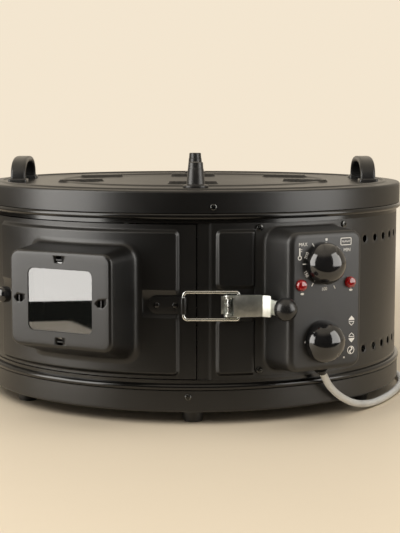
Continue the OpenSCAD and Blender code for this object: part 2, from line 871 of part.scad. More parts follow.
module control_shape(inset) {
    at_az(box_az) pressed_box(wall_r - box_root, box_rho, box_half_w, box_low_z, box_low_z + box_h,
        box_spread, box_spread, box_spread, inset);
}

module at_box_screws() {
    screw_az = flange_half_az - box_screw_inset / wall_r * 180 / PI;
    for (side = [-1, 1], z = [flange_low + box_screw_inset, flange_top - box_screw_inset])
        at_az(box_az + side * screw_az, wall_r, z) outwards() children();
}

module at_dial(z) {
    at_az(box_az, box_rho, z) translate([-dial_aside, 0, 0]) outwards() children();
}

module at_lamps() {
    for (side = [-1, 1])
        at_az(box_az, box_rho, lamp_z) translate([lamp_shift - dial_aside + side * lamp_along, 0, 0])
            outwards() children();
}

module control_box() {
    color("#222222") difference() {
        union() {
            difference() {
                control_shape(0);
                cylinder(r = wall_r, h = top_z);
            }
            pad(wall_r, wall_r + sheet_t, box_az - flange_half_az, box_az + flange_half_az,
                flange_low, flange_top, panel_corner);
        }
        control_shape(sheet_t);
        for (z = [thermostat_z, selector_z])
            at_dial(z) cylinder(r = bush_r + fit, h = 6 * past, center = true);
        at_lamps() cylinder(r = lamp_body_d / 2 + fit, h = 6 * past, center = true);
        at_box_screws() cylinder(r = screw_d / 2 + fit, h = 8 * past, center = true);
        at_gland() cylinder(r = gland_r + fit, h = gland_l);
    }
}

module control_box_screws() {
    color("#3a3a3a") at_box_screws() {
        translate([0, 0, -box_screw_l]) cylinder(d = screw_d, h = box_screw_l + sheet_t);
        translate([0, 0, sheet_t]) cylinder(d = screw_head_d, h = screw_head_h);
    }
}

// Body of a dial's device behind the face, with a bush through it
module dial_device(z) {
    at_dial(z) difference() {
        union() {
            translate([-device_size / 2, -device_size / 2, -sheet_t - device_depth])
                cube([device_size, device_size, device_depth]);
            translate([0, 0, -sheet_t]) cylinder(r = bush_r, h = sheet_t + bush_out);
        }
        translate([0, 0, -sheet_t - device_depth + shaft_floor])
            cylinder(r = shaft_d / 2 + run, h = device_depth + sheet_t + bush_out);
    }
}

module dial_shaft(z) {
    shaft_low = -sheet_t - device_depth + shaft_floor + shaft_float;
    at_dial(z) translate([0, 0, shaft_low]) cylinder(d = shaft_d, h = dial_h - knob_roof - shaft_low);
}

// A domed knob with a notch for its pointer and a skirt hollow under it
module dial_knob(z) {
    cap_h = dial_h - knob_rim_h;
    dome_r = (pow(dial_d / 2, 2) + pow(cap_h, 2)) / (2 * cap_h);
    at_dial(z) translate([0, 0, knob_gap]) difference() {
        rotate_extrude() intersection() {
            translate([0, dial_h - dome_r]) circle(dome_r);
            square([dial_d / 2, dial_h]);
        }
        translate([0, 0, -past]) cylinder(r = bush_r + knob_bush_gap, h = bush_out + past + fit);
        translate([0, 0, -past]) cylinder(d = shaft_d + 2 * fit, h = dial_h - knob_roof + past);
        translate([-notch[0] / 2, dial_d / 2 - notch[1], dial_h - notch[2]]) cube([notch[0], notch[1], dial_h]);
    }
}

module thermostat() color("#b8b2a8") dial_device(thermostat_z);

module thermostat_shaft() color("silver") dial_shaft(thermostat_z);

module thermostat_knob() color("#101010") dial_knob(thermostat_z);

module selector_switch() color("#3c3630") dial_device(selector_z);

module selector_shaft() color("silver") dial_shaft(selector_z);

module selector_knob() color("#101010") dial_knob(selector_z);

module lamp_bodies() {
    color("ivory") at_lamps() translate([0, 0, -sheet_t - lamp_body_l])
        cylinder(d = lamp_body_d, h = lamp_body_l + sheet_t);
}

module lamp_lenses() {
    color("#c01515") at_lamps() intersection() {
        cylinder(d = lamp_d, h = lamp_d / 2);
        sphere(d = lamp_d);
    }
}

module terminal_block() {
    block = [30, 16, 14];
    wire_bore_r = 2;
    wire_pitch = 10;
    color("ivory") at_az(box_az, wall_r, (thermostat_z + selector_z) / 2) difference() {
        translate([-block[0] / 2, -block[2], -block[1] / 2]) cube([block[0], block[2], block[1]]);
        for (x = [-wire_pitch, 0, wire_pitch]) translate([x, -block[2] / 2, -block[1]])
            cylinder(r = wire_bore_r, h = 2 * block[1]);
    }
}

// Bulb of the thermostat inside the oven, with its capillary out to the box
module thermostat_probe() {
    color("#b87333") {
        at_az(probe_az, wall_in_r - probe_in, probe_z) translate([0, 0, -probe_l])
            cylinder(r = probe_r, h = probe_l);
        radial_rod(probe_az, probe_z, wall_in_r - probe_in, wall_r + capillary_out, capillary_r);
        at_az(probe_az, wall_in_r - probe_in, probe_z) sphere(r = probe_r);
        at_az(probe_az, wall_r + capillary_out, probe_z) sphere(r = capillary_r);
        at_az(probe_az, wall_r + capillary_out, probe_z) cylinder(r = capillary_r, h = capillary_l);
    }
}

module probe_clip() {
    clip_h = 8;
    color("silver") at_az(probe_az, wall_in_r, probe_z - probe_l / 2) difference() {
        translate([-probe_clip_w / 2, 0, 0]) intersection() {
            cube([probe_clip_w, probe_in + probe_r + probe_clip_t, clip_h]);
            translate([probe_clip_w / 2, wall_in_r, 0]) cylinder(r = wall_in_r, h = clip_h);
        }
        translate([0, probe_in, -past]) cylinder(r = probe_r + fit, h = clip_h + 2 * past);
    }
}

// A rivet through a plate that lies on the wall, its head outside
module rivet(plate) {
    translate([0, 0, -sheet_t - rivet_past]) cylinder(r = rivet_r, h = sheet_t + rivet_past + plate);
    translate([0, 0, plate]) intersection() {
        cylinder(r = rivet_head_r, h = rivet_head_h);
        translate([0, 0, rivet_head_h - rivet_dome_r]) sphere(r = rivet_dome_r);
    }
}

module latch_base() {
    ear_z = lever_w / 2 - lever_t - ear_gap;
    half_az = base_half_w / wall_r * 180 / PI;
    color("silver") difference() {
        union() {
            arc_sheet(wall_r, wall_r + leaf_t, latch_az - half_az, latch_az + half_az,
                latch_z - ear_z, latch_z + ear_z);
            for (z = [latch_z - ear_z, latch_z + ear_z - ear_t])
                at_az(latch_az, wall_r, z) linear_extrude(ear_t) {
                    translate([0, -lever_pin_out]) circle(ear_r);
                    translate([-ear_r, -lever_pin_out]) square([2 * ear_r, lever_pin_out - leaf_t / 2]);
                }
        }
        at_az(latch_az, wall_r + lever_pin_out, latch_z - lever_w)
            cylinder(r = lever_pin_r + run, h = 2 * lever_w);
        radial_rod(latch_az, latch_z, wall_r - past, wall_r + 4 * past, rivet_r + fit);
    }
}

module latch_rivet() {
    low_head_h = 1;
    color("silver") at_az(latch_az, wall_r, latch_z) outwards() {
        translate([0, 0, -sheet_t - rivet_past]) cylinder(r = rivet_r, h = sheet_t + rivet_past + leaf_t);
        translate([0, 0, leaf_t]) cylinder(r = rivet_head_r, h = low_head_h);
    }
}

module latch_pin() {
    color("silver") at_az(latch_az, wall_r + lever_pin_out, latch_z - lever_w / 2 - latch_pin_past)
        cylinder(r = lever_pin_r, h = lever_w + 2 * latch_pin_past);
}

// Side view of the lever's flanges and flat, from the pin at the origin, outwards up
module lever_side() {
    flat_up = flat_out - lever_pin_out;
    polygon(concat(
        round_corner([0, 0], lever_eye_r, 90, 270, 2 * edge_steps),
        [[lever_flat_l, flat_up - lever_side_h], [lever_flat_l, flat_up + lever_t / 2],
            [lever_start, flat_up + lever_t / 2]]
    ));
}

module lever_flat() {
    flat_up = flat_out - lever_pin_out;
    translate([lever_start, flat_up - lever_t / 2]) square([lever_flat_l - lever_start, lever_t]);
}

module at_lever() {
    at_az(latch_az, wall_r + lever_pin_out, latch_z) mirror([0, 1, 0]) children();
}

module at_crank() {
    at_lever() translate([lever_flat_l, flat_out - lever_pin_out, 0]) rotate([0, 0, crank_turn])
        children();
}

module latch_lever() {
    color("silver") difference() {
        union() {
            at_lever() for (z = [-lever_w / 2, lever_w / 2 - lever_t])
                translate([0, 0, z]) linear_extrude(lever_t) lever_side();
            at_lever() translate([0, 0, -lever_w / 2]) linear_extrude(lever_w) lever_flat();
            at_crank() {
                translate([-lever_t / 2, -lever_t / 2, crank_inset - lever_w / 2])
                    cube([crank_wide_l, lever_t, lever_w - 2 * crank_inset]);
                translate([0, -lever_t / 2, -tongue_w / 2]) cube([crank_l - 1, lever_t, tongue_w]);
                translate([crank_l - stud_l, 0, 0]) rotate([0, 90, 0]) cylinder(r = stud_r, h = stud_l + stud_in);
            }
        }
        at_lever() translate([0, 0, -lever_w]) cylinder(r = lever_pin_r + run, h = 2 * lever_w);
    }
}

module latch_ball() {
    color("#121212") at_crank() difference() {
        translate([crank_l + ball_d / 2, 0, 0]) sphere(d = ball_d);
        translate([crank_l - past, 0, 0]) rotate([0, 90, 0])
            cylinder(r = stud_r + fit, h = past + stud_in + fit);
        translate([crank_l - ball_flat, -ball_d, -ball_d]) cube([ball_flat, 2 * ball_d, 2 * ball_d]);
    }
}

// A quarter of a wire ring, from the x direction round to the y direction
module wire_corner(bend) {
    rotate_extrude(angle = 90) translate([bend, 0]) circle(d = bail_wire_d);
}

module wire_bail() {
    straight_l = bail_l - bail_corner - bail_hook;
    color("silver") translate([bail_pin_xy[0], bail_pin_xy[1], latch_z]) rotate([0, 0, bail_turn]) {
        translate([0, 0, bail_corner - bail_h / 2]) cylinder(d = bail_wire_d, h = bail_h - 2 * bail_corner);
        for (side = [0, 1]) mirror([0, 0, side]) {
            translate([bail_corner, 0, bail_h / 2 - bail_corner]) mirror([1, 0, 0])
                rotate([90, 0, 0]) wire_corner(bail_corner);
            translate([bail_corner, 0, bail_h / 2]) rotate([0, 90, 0])
                cylinder(d = bail_wire_d, h = straight_l);
            translate([bail_corner + straight_l, 0, bail_h / 2 - bail_hook]) rotate([90, 0, 0])
                wire_corner(bail_hook);
        }
    }
}

module catch_plate() {
    curl_r = bail_wire_d / 2 + run + curl_wall;
    color("#1a1a1a") difference() {
        union() {
            intersection() {
                arc_sheet(wall_r, wall_r + catch_plate_t, 2 * catch_end_az, -catch_end_az,
                    latch_z - catch_plate_h, latch_z + catch_plate_h);
                at_az(catch_az, wall_r - catch_plate_h, latch_z) outwards()
                    linear_extrude(2 * catch_plate_h) polygon(concat(
                        [[0, -catch_plate_h / 2], [0, catch_plate_h / 2]],
                        round_corner([-catch_l, 0], catch_plate_h / 2, 90, 270, 2 * edge_steps)
                    ));
            }
            at_az(catch_az, wall_r, latch_z - curl_half) {
                translate([0, -bail_out, 0]) cylinder(r = curl_r, h = 2 * curl_half);
                translate([-curl_r, -bail_out, 0]) cube([curl_r, bail_out - catch_plate_t / 2, 2 * curl_half]);
            }
        }
        at_az(catch_az, wall_r + bail_out, latch_z - bail_h)
            cylinder(r = bail_wire_d / 2 + run, h = 2 * bail_h);
        for (az = catch_rivet_az)
            radial_rod(az, latch_z, wall_r - past, wall_r + 4 * past, rivet_r + fit);
    }
}

module catch_rivets() {
    color("#2a2a2a") for (az = catch_rivet_az) at_az(az, wall_r, latch_z) outwards() rivet(catch_plate_t);
}

// The door's window panel, with the channels at its two sides cut out
module window_panel(r0, r1, inset) {
    inset_az = inset / wall_r * 180 / PI;
    difference() {
        pad(r0, r1, window_az - window_panel_half_az + inset_az, window_az + window_panel_half_az - inset_az,
            panel_low_z + inset, panel_top_z - inset, panel_corner - inset);
        for (side = [-1, 1]) rotate([0, 0, side > 0 ? 0 : 2 * window_az]) mirror([side > 0 ? 0 : 1, 0, 0])
            pad(r0 - past, r1 + past, window_az + channel_az - inset_az, window_az + window_panel_half_az + channel_past_az,
                channel_z - channel_h / 2 - inset, channel_z + channel_h / 2 + inset, panel_corner / 2 + inset);
    }
}

module back_panel(az) {
    pad(wall_r - fit, panel_r, az[0], az[1], panel_low_z, panel_top_z, panel_corner);
}

module window_hole(w, h, corner) {
    at_az(window_az, 0, glass_z) outwards() linear_extrude(window_rho + past)
        rounded_rect(w, h, corner);
}

module door_panel() {
    color("#1c1c1c") difference() {
        union() {
            union() {
                union() {
                    arc_sheet(wall_in_r, wall_r, door_left_az, door_right_az, door_low_z, door_top_z);
                    window_panel(wall_r - fit, panel_r, 0);
                }
                back_panel(back_panels_az[0]);
            }
            back_panel(back_panels_az[1]);
        }
        window_panel(wall_in_r - past, panel_r - sheet_t, sheet_t);
        for (az = back_panels_az) pad_hollow(panel_r, az[0], az[1], panel_low_z, panel_top_z);
        window_hole(glass_w + window_clear, glass_h + window_clear, glass_corner);
        for (az = catch_rivet_az)
            radial_rod(az, latch_z, wall_in_r - past, wall_r + past, rivet_r + fit);
        radial_rod(knob_az, latch_z, wall_in_r - past, wall_r + past, screw_d / 2 + fit);
        at_hinge_rivets(1) cylinder(r = rivet_r + fit, h = 8 * past, center = true);
    }
}

module window_shape(inset) {
    at_az(window_az) pressed_box(wall_r - box_root, window_rho, window_half_w, window_z - window_h / 2,
        window_z + window_h / 2, window_spread, window_spread_low, window_spread_up, inset);
}

// Places of the four bent tabs round the glass, with x along the tab
module at_tabs() {
    at_az(window_az, window_rho, glass_z) outwards() {
        for (side = [-1, 1]) {
            translate([0, side * tab_up, 0]) children();
            translate([side * tab_along, 0, 0]) rotate([0, 0, 90]) children();
        }
    }
}

module window_box() {
    slot_gap = 0.3;
    color("#1c1c1c") difference() {
        window_shape(0);
        window_shape(sheet_t);
        cylinder(r = panel_r, h = top_z);
        window_hole(glass_w, glass_h, box_edge_r);
        at_tabs() cube([tab_w + 2 * slot_gap, tab_t + 2 * slot_gap, 6 * past], center = true);
    }
}

module window_glass() {
    color("#9fb4b8", 0.4) at_az(window_az, window_rho - sheet_t - glass_t, glass_z) outwards()
        linear_extrude(glass_t) rounded_rect(glass_w + 2 * glass_lap, glass_h + 2 * glass_lap, glass_corner);
}

module glass_retainer() {
    plate_w = 2 * (tab_along + retainer_lap);
    plate_h = 2 * (tab_up + retainer_lap);
    color("#8d9296") {
        at_az(window_az, window_rho - sheet_t - glass_t - retainer_t, glass_z) outwards()
            linear_extrude(retainer_t) difference() {
                rounded_rect(plate_w, plate_h, glass_corner);
                rounded_rect(glass_w, glass_h, glass_corner);
            }
        at_tabs() translate([-tab_w / 2, -tab_t / 2, -sheet_t - glass_t - retainer_t / 2])
            cube([tab_w, tab_t, sheet_t + glass_t + retainer_t / 2 + tab_reach]);
    }
}

module door_knob() {
    neck_d = 9;
    grip_l = 9;
    color("#121212") at_az(knob_az, wall_r, latch_z) outwards() translate([0, 0, collar_h]) difference() {
        union() {
            cylinder(d = neck_d, h = door_knob_l - grip_l / 2);
            translate([0, 0, door_knob_l - grip_l]) cylinder(d1 = neck_d, d2 = door_knob_d, h = 3);
            translate([0, 0, door_knob_l - grip_l + 3]) cylinder(d = door_knob_d, h = grip_l - 3);
        }
        translate([0, 0, -past]) cylinder(r = screw_d / 2 + fit, h = screw_hole_l + past);
    }
}

module door_knob_collar() {
    color("silver") at_az(knob_az, wall_r, latch_z) outwards() difference() {
        cylinder(d = collar_d, h = collar_h);
        translate([0, 0, -past]) cylinder(r = screw_d / 2 + fit, h = collar_h + 2 * past);
    }
}

module door_knob_screw() {
    head_z = -sheet_t - fit;
    color("silver") at_az(knob_az, wall_r, latch_z) outwards() {
        translate([0, 0, head_z]) cylinder(d = screw_d, h = collar_h + screw_grip - head_z);
        translate([0, 0, head_z - screw_head_h]) cylinder(d = screw_head_d, h = screw_head_h);
    }
}

// Rivets of the hinge leaves, side 1 on the door and -1 on the wall
module at_hinge_rivets(side) {
    rivet_along = leaf_start + (hinge_leaf_w - leaf_start) / 2;
    for (z = hinge_zs, up = [hinge_rivet_end, hinge_h - hinge_rivet_end])
        at_az(hinge_az + side * rivet_along / wall_r * 180 / PI, wall_r, z + up) outwards() children();
}

// Heights of the hinge's three knuckles: the wall's first and last, the door's middle
function knuckle_low(k) = k * hinge_h / 3 + (k > 0 ? knuckle_gap / 2 : 0);
function knuckle_high(k) = (k + 1) * hinge_h / 3 - (k < 2 ? knuckle_gap / 2 : 0);

// Flat outline of a leaf: notched where the other leaf's knuckles turn
module leaf_outline(notches) {
    difference() {
        translate([tongue_lap, 0]) square([hinge_leaf_w - tongue_lap, hinge_h]);
        for (k = notches) translate([0, knuckle_low(k) - knuckle_gap])
            square([leaf_start, knuckle_high(k) - knuckle_low(k) + 2 * knuckle_gap]);
    }
}

module hinge_leaf(side, knuckles, notches, z) {
    reach_az = 2 * hinge_leaf_w / wall_r * 180 / PI;
    difference() {
        union() {
            intersection() {
                arc_sheet(wall_r, wall_r + leaf_t, hinge_az - reach_az, hinge_az + reach_az,
                    z - past, z + hinge_h + past);
                at_az(hinge_az, wall_r - hinge_leaf_w, z) mirror([side > 0 ? 0 : 1, 0, 0]) outwards()
                    linear_extrude(2 * hinge_leaf_w) leaf_outline(notches);
            }
            for (k = knuckles) at_az(hinge_az, wall_r + hinge_out, z + knuckle_low(k))
                cylinder(r = knuckle_r, h = knuckle_high(k) - knuckle_low(k));
        }
        at_az(hinge_az, wall_r + hinge_out, z - past) cylinder(r = hinge_pin_r + run, h = hinge_h + 2 * past);
        at_hinge_rivets(side) cylinder(r = rivet_r + fit, h = 8 * past, center = true);
    }
}

module hinge_wall_leaves() {
    color("#2a2a2a") for (z = hinge_zs) hinge_leaf(-1, [0, 2], [1], z);
}

module hinge_door_leaves() {
    color("#2a2a2a") for (z = hinge_zs) hinge_leaf(1, [1], [0, 2], z);
}

module hinge_pins() {
    color("silver") for (z = hinge_zs) at_az(hinge_az, wall_r + hinge_out, z) {
        translate([0, 0, -hinge_pin_past]) cylinder(r = hinge_pin_r, h = hinge_h + hinge_pin_past);
        translate([0, 0, hinge_h]) cylinder(r = hinge_pin_r + 1, h = hinge_pin_head);
    }
}

module hinge_wall_rivets() {
    color("#2a2a2a") at_hinge_rivets(-1) rivet(leaf_t);
}

module hinge_door_rivets() {
    color("#2a2a2a") at_hinge_rivets(1) rivet(leaf_t);
}

// Place of the gland: its tip at the origin and z back along the lead's first stretch
module at_gland() {
    back = lead_route[0] - lead_route[1];
    lean = acos(back[2] / norm(back));
    turn = atan2(back[1], back[0]);
    translate(lead_route[0]) rotate([0, 0, turn]) rotate([0, lean, 0]) children();
}

module cord_gland() {
    collar_at = 16;
    color("#4a4a4a") at_gland() {
        cylinder(r1 = gland_tip_r, r2 = gland_r, h = collar_at);
        translate([0, 0, collar_at]) cylinder(r = gland_r, h = gland_l - collar_at);
        translate([0, 0, collar_at - gland_collar_h]) cylinder(r = gland_collar_r, h = gland_collar_h);
    }
}

// A round tube through points: a ring of corners square to the path at each, closed at both ends
function path_dir(p, i) =
    let (a = p[max(i - 1, 0)], b = p[min(i + 1, len(p) - 1)]) (b - a) / norm(b - a);
function tube_ring(c, dir, r, sides) =
    let (u = cross(dir, [0, 0, 1]) / norm(cross(dir, [0, 0, 1])), v = cross(u, dir))
    [for (k = [0 : sides - 1]) c + r * cos((k + 0.5) * 360 / sides) * u + r * sin((k + 0.5) * 360 / sides) * v];
function tube_points(p, r, sides) = [for (i = [0 : len(p) - 1]) each tube_ring(p[i], path_dir(p, i), r, sides)];
function tube_faces(rings, sides) = concat(
    [for (i = [0 : rings - 2], k = [0 : sides - 1])
        let (a = i * sides + k, b = i * sides + (k + 1) % sides) each [[a, b, b + sides], [a, b + sides, a + sides]]],
    [for (k = [1 : sides - 2]) [0, k + 1, k]],
    [for (k = [1 : sides - 2]) (rings - 1) * sides * [1, 1, 1] + [0, k, k + 1]]
);

module tube(p, r, sides) {
    polyhedron(points = tube_points(p, r, sides), faces = tube_faces(len(p), sides));
}

// The coil's spiral: in along the floor, up a layer where it turns, and out again on top
function climb(turn) =
    let (s = min(max((turn - coil_turns / 2) / coil_climb + 0.5, 0), 1)) s * s * (3 - 2 * s);
function coil_r_at(turn) = coil_r - coil_pitch * (coil_turns / 2 - abs(turn - coil_turns / 2));
function coil_point(turn) =
    let (r = coil_r_at(turn))
    [coil_xy[0] + r * cos(360 * turn), coil_xy[1] + r * sin(360 * turn), coil_low_z + coil_pitch * climb(turn)];
coil_path = concat(
    [[coil_xy[0] + coil_r, coil_xy[1] - coil_end, coil_low_z]],
    [for (k = [0 : coil_turns * coil_rings]) coil_point(k / coil_rings)],
    [[coil_xy[0] - coil_end, coil_xy[1] + coil_r, coil_low_z + coil_pitch]]
);
coil_gap = min([for (i = [0 : len(coil_path) - 1], j = [i + coil_rings / 2 : len(coil_path) - 1])
    norm(coil_path[i] - coil_path[j])]) - cord_d;
echo(coil_gap = coil_gap);
echo(lead_length = path_length(lead_route), coil_length = path_length(coil_path), tail_length = path_length(tail_route));
function path_length(p, i = 0) = i + 1 < len(p) ? norm(p[i + 1] - p[i]) + path_length(p, i + 1) : 0;

module cord_lead() {
    color("#b9bab8") tube(lead_route, cord_r, tube_sides);
}

module cord_coil() {
    color("#b9bab8") tube(coil_path, cord_r, coil_sides);
}

module cord_tail() {
    color("#b9bab8") tube(tail_route, cord_r, tube_sides);
}

module coil_tie() {
    low_r = coil_r_at(tie_turn + 1) - cord_r - tie_gap;
    high_r = coil_r_at(tie_turn) + cord_r + tie_gap;
    tie_h = coil_low_z + coil_pitch + cord_r + tie_gap;
    color("#202020") translate([coil_xy[0], coil_xy[1], 0]) rotate([0, 0, 360 * tie_turn])
        translate([low_r - tie_t, tie_w / 2, 0]) outwards() linear_extrude(tie_w) difference() {
            square([high_r - low_r + 2 * tie_t, tie_h + tie_t]);
            translate([tie_t, tie_t]) square([high_r - low_r, tie_h - tie_t]);
        }
}

module at_plug() {
    translate(tail_route[len(tail_route) - 1]) rotate([0, -90, 0]) children();
}

module plug_body() {
    nose_l = 4;
    nose_step = 2;
    color("#b9bab8") at_plug() {
        cylinder(r1 = gland_tip_r, r2 = plug_relief_r, h = plug_relief_l);
        translate([0, 0, plug_relief_l]) cylinder(r1 = plug_relief_r + plug_step, r2 = plug_d / 2, h = plug_l / 2);
        translate([0, 0, plug_relief_l + plug_l / 2]) cylinder(d = plug_d, h = plug_l / 2 - nose_l);
        translate([0, 0, plug_relief_l + plug_l - nose_l]) cylinder(d = plug_d - nose_step, h = nose_l);
    }
}

module plug_pins() {
    color("silver") at_plug() for (side = [-1, 1])
        translate([0, side * plug_pin_gap / 2, plug_relief_l + plug_l])
            cylinder(d = plug_pin_d, h = plug_pin_l);
}

bottom_cover();
top_cover();
lower_rim();
upper_rim();
drum_wall();
cover_screws();
feet();
foot_screws();
left_handle();
right_handle();
handle_screws();
top_pegs();
peg_screws();
lower_reflector();
upper_reflector();
lower_heater();
upper_heater();
heater_clips();
heater_bushes();
wire_rack();
control_box();
control_box_screws();
thermostat();
thermostat_shaft();
thermostat_knob();
selector_switch();
selector_shaft();
selector_knob();
lamp_bodies();
lamp_lenses();
terminal_block();
thermostat_probe();
probe_clip();
latch_base();
latch_rivet();
latch_pin();
latch_lever();
latch_ball();
wire_bail();
catch_plate();
catch_rivets();
door_panel();
window_box();
window_glass();
glass_retainer();
door_knob();
door_knob_collar();
door_knob_screw();
hinge_wall_leaves();
hinge_door_leaves();
hinge_pins();
hinge_wall_rivets();
hinge_door_rivets();
cord_gland();
cord_lead();
cord_coil();
cord_tail();
coil_tie();
plug_body();
plug_pins();
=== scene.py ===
"""Looks of a round electric drum oven with a side door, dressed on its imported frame."""

import json
import logging
import math
from dataclasses import dataclass
from enum import Enum
from typing import Any, Sequence

import bmesh
import bpy
import numpy as np
from numpy.typing import NDArray
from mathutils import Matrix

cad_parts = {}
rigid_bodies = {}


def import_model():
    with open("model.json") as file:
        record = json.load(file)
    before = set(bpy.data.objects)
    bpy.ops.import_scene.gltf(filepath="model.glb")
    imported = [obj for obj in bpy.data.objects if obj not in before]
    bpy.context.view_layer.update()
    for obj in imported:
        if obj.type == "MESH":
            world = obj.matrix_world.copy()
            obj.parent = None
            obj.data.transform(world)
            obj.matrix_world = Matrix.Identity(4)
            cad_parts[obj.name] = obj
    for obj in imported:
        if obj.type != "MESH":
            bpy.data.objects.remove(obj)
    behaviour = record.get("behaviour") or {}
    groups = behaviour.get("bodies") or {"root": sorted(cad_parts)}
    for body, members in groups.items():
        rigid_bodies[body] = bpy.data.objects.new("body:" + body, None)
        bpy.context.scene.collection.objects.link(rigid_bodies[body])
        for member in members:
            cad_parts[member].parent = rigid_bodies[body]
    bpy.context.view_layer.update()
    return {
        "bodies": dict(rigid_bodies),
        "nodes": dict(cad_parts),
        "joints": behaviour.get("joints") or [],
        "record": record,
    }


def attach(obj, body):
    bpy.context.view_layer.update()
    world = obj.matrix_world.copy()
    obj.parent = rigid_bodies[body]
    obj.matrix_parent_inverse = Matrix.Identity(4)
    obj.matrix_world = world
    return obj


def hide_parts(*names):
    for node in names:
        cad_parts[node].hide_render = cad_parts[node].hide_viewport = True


log = logging.getLogger("drum_oven")

Array = NDArray[np.float64]
Faces = NDArray[np.int64]
RGB = tuple[float, float, float]
Point = tuple[float, float, float]
Pair = tuple[float, float]

# Lengths are in millimetres and angles in degrees where nothing else is said.
MM = 0.001
WALL_R = 212.0
PANEL_R = 215.0
PRESS_SLOPE = 4.0
HEAD_SEAT = 0.4
CRISP_ANGLE = 38.0

# Blender's own lengths, in metres: points this near are one point, and edges this short are dropped.
WELD = 2e-6
SLIVER = 1e-7

UP = np.array([0.0, 0.0, 1.0])
UPRIGHT = (np.array([1.0, 0.0, 0.0]), np.array([0.0, 1.0, 0.0]), UP)
LEFTWARD = (UPRIGHT[1], -UP, -UPRIGHT[0])


class Body(Enum):
    """The bodies that pieces ride on."""

    HOUSING = "housing"
    DOOR = "door"
    BAIL = "bail"
    LEVER = "lever"
    THERMOSTAT = "thermostat_dial"
    SELECTOR = "selector_dial"


class Wire:
    """A shader socket that takes part in Python expressions."""

    def __init__(self, recipe: "Recipe", socket: bpy.types.NodeSocket) -> None:
        """Holds the socket and the recipe that its nodes go into."""
        self.recipe = recipe
        self.socket = socket

    def _math(self, operation: str, first: "Wire | float", second: "Wire | float") -> "Wire":
        """Adds one Math node for two terms."""
        return self.recipe.node("ShaderNodeMath", {"operation": operation}, {0: first, 1: second})

    def __add__(self, other: "Wire | float") -> "Wire":
        """Sum."""
        return self._math("ADD", self, other)

    def __radd__(self, other: float) -> "Wire":
        """Sum with a number first."""
        return self._math("ADD", other, self)

    def __sub__(self, other: "Wire | float") -> "Wire":
        """Difference."""
        return self._math("SUBTRACT", self, other)

    def __rsub__(self, other: float) -> "Wire":
        """Difference from a number."""
        return self._math("SUBTRACT", other, self)

    def __mul__(self, other: "Wire | float") -> "Wire":
        """Product."""
        return self._math("MULTIPLY", self, other)

    def __rmul__(self, other: float) -> "Wire":
        """Product with a number first."""
        return self._math("MULTIPLY", other, self)

    def largest(self, other: "Wire | float") -> "Wire":
        """The larger of two values."""
        return self._math("MAXIMUM", self, other)


class Recipe:
    """The nodes of one material or world."""

    def __init__(self, tree: bpy.types.NodeTree) -> None:
        """Starts from an empty tree."""
        self.tree = tree
        tree.nodes.clear()

    def node(
        self,
        kind: str,
        settings: dict[str, Any] | None = None,
        sockets: dict[int | str, Any] | None = None,
        out: int | str = 0,
    ) -> Wire:
        """Adds any node.

        Args:
            kind: The node's type.
            settings: Its own settings, set first.
            sockets: Values or wires for its inputs, by number or name.
            out: Which output is returned.

        Returns:
            The chosen output.
        """
        made = self.tree.nodes.new(kind)
        for key, value in (settings or {}).items():
            setattr(made, key, value)
        for key, value in (sockets or {}).items():
            if isinstance(value, Wire):
                self.tree.links.new(value.socket, made.inputs[key])
            else:
                made.inputs[key].default_value = value
        return Wire(self, made.outputs[out])

    def place(self) -> Wire:
        """Object coordinates, in metres."""
        return self.node("ShaderNodeTexCoord", out="Object")

    def stretched(self, place: Wire, scale: RGB) -> Wire:
        """Coordinates scaled apart along the three axes."""
        return self.node("ShaderNodeMapping", {}, {"Vector": place, "Scale": scale})

    def noise(self, place: Wire, scale: float, detail: float = 3.0) -> Wire:
        """Noise from 0 to 1 with that many cells to the metre."""
        return self.node("ShaderNodeTexNoise", {}, {"Vector": place, "Scale": scale, "Detail": detail})

    def ramp(self, value: Wire, low: float, high: float) -> Wire:
        """A smooth step from 0 at low to 1 at high."""
        return self.node(
            "ShaderNodeMapRange",
            {"interpolation_type": "SMOOTHSTEP"},
            {"Value": value, "From Min": low, "From Max": high},
        )

    def blend(self, share: Wire, first: RGB | Wire, second: RGB | Wire) -> Wire:
        """A colour between two colours."""
        pair = [c if isinstance(c, Wire) else (*c, 1.0) for c in (first, second)]
        return self.node("ShaderNodeMix", {"data_type": "RGBA"}, {0: share, 6: pair[0], 7: pair[1]}, out=2)

    def bump(self, height: Wire, strength: float, distance: float) -> Wire:
        """A bumped normal; distance in metres."""
        sockets = {"Strength": strength, "Distance": distance, "Height": height}
        return self.node("ShaderNodeBump", {}, sockets, out="Normal")

    def axes(self, vector: Wire) -> list[Wire]:
        """A vector's three numbers."""
        return [self.node("ShaderNodeSeparateXYZ", {}, {0: vector}, out=axis) for axis in "XYZ"]

    def rays(self, *kinds: str) -> Wire:
        """A test of what kind of ray arrives.

        Args:
            kinds: Names of the light path's rays.

        Returns:
            1 for rays of any of the named kinds, 0 for others.
        """
        test, *others = (self.node("ShaderNodeLightPath", out=f"Is {kind} Ray") for kind in kinds)
        for other in others:
            test = test.largest(other)
        return test

    def between(self, share: Wire, first: Wire, second: Wire) -> Wire:
        """A shader between two shaders."""
        return self.node("ShaderNodeMixShader", {}, {0: share, 1: first, 2: second})

    def principled(self, sockets: dict[int | str, Any]) -> Wire:
        """A Principled shader."""
        return self.node("ShaderNodeBsdfPrincipled", {}, sockets)

    def surface(self, sockets: dict[int | str, Any]) -> None:
        """Ends the recipe with a Principled shader on the surface."""
        self.end(self.principled(sockets))

    def end(self, shader: Wire, kind: str = "ShaderNodeOutputMaterial") -> None:
        """Ends the recipe with any shader, for a material or a world."""
        output = self.tree.nodes.new(kind)
        self.tree.links.new(shader.socket, output.inputs["Surface"])


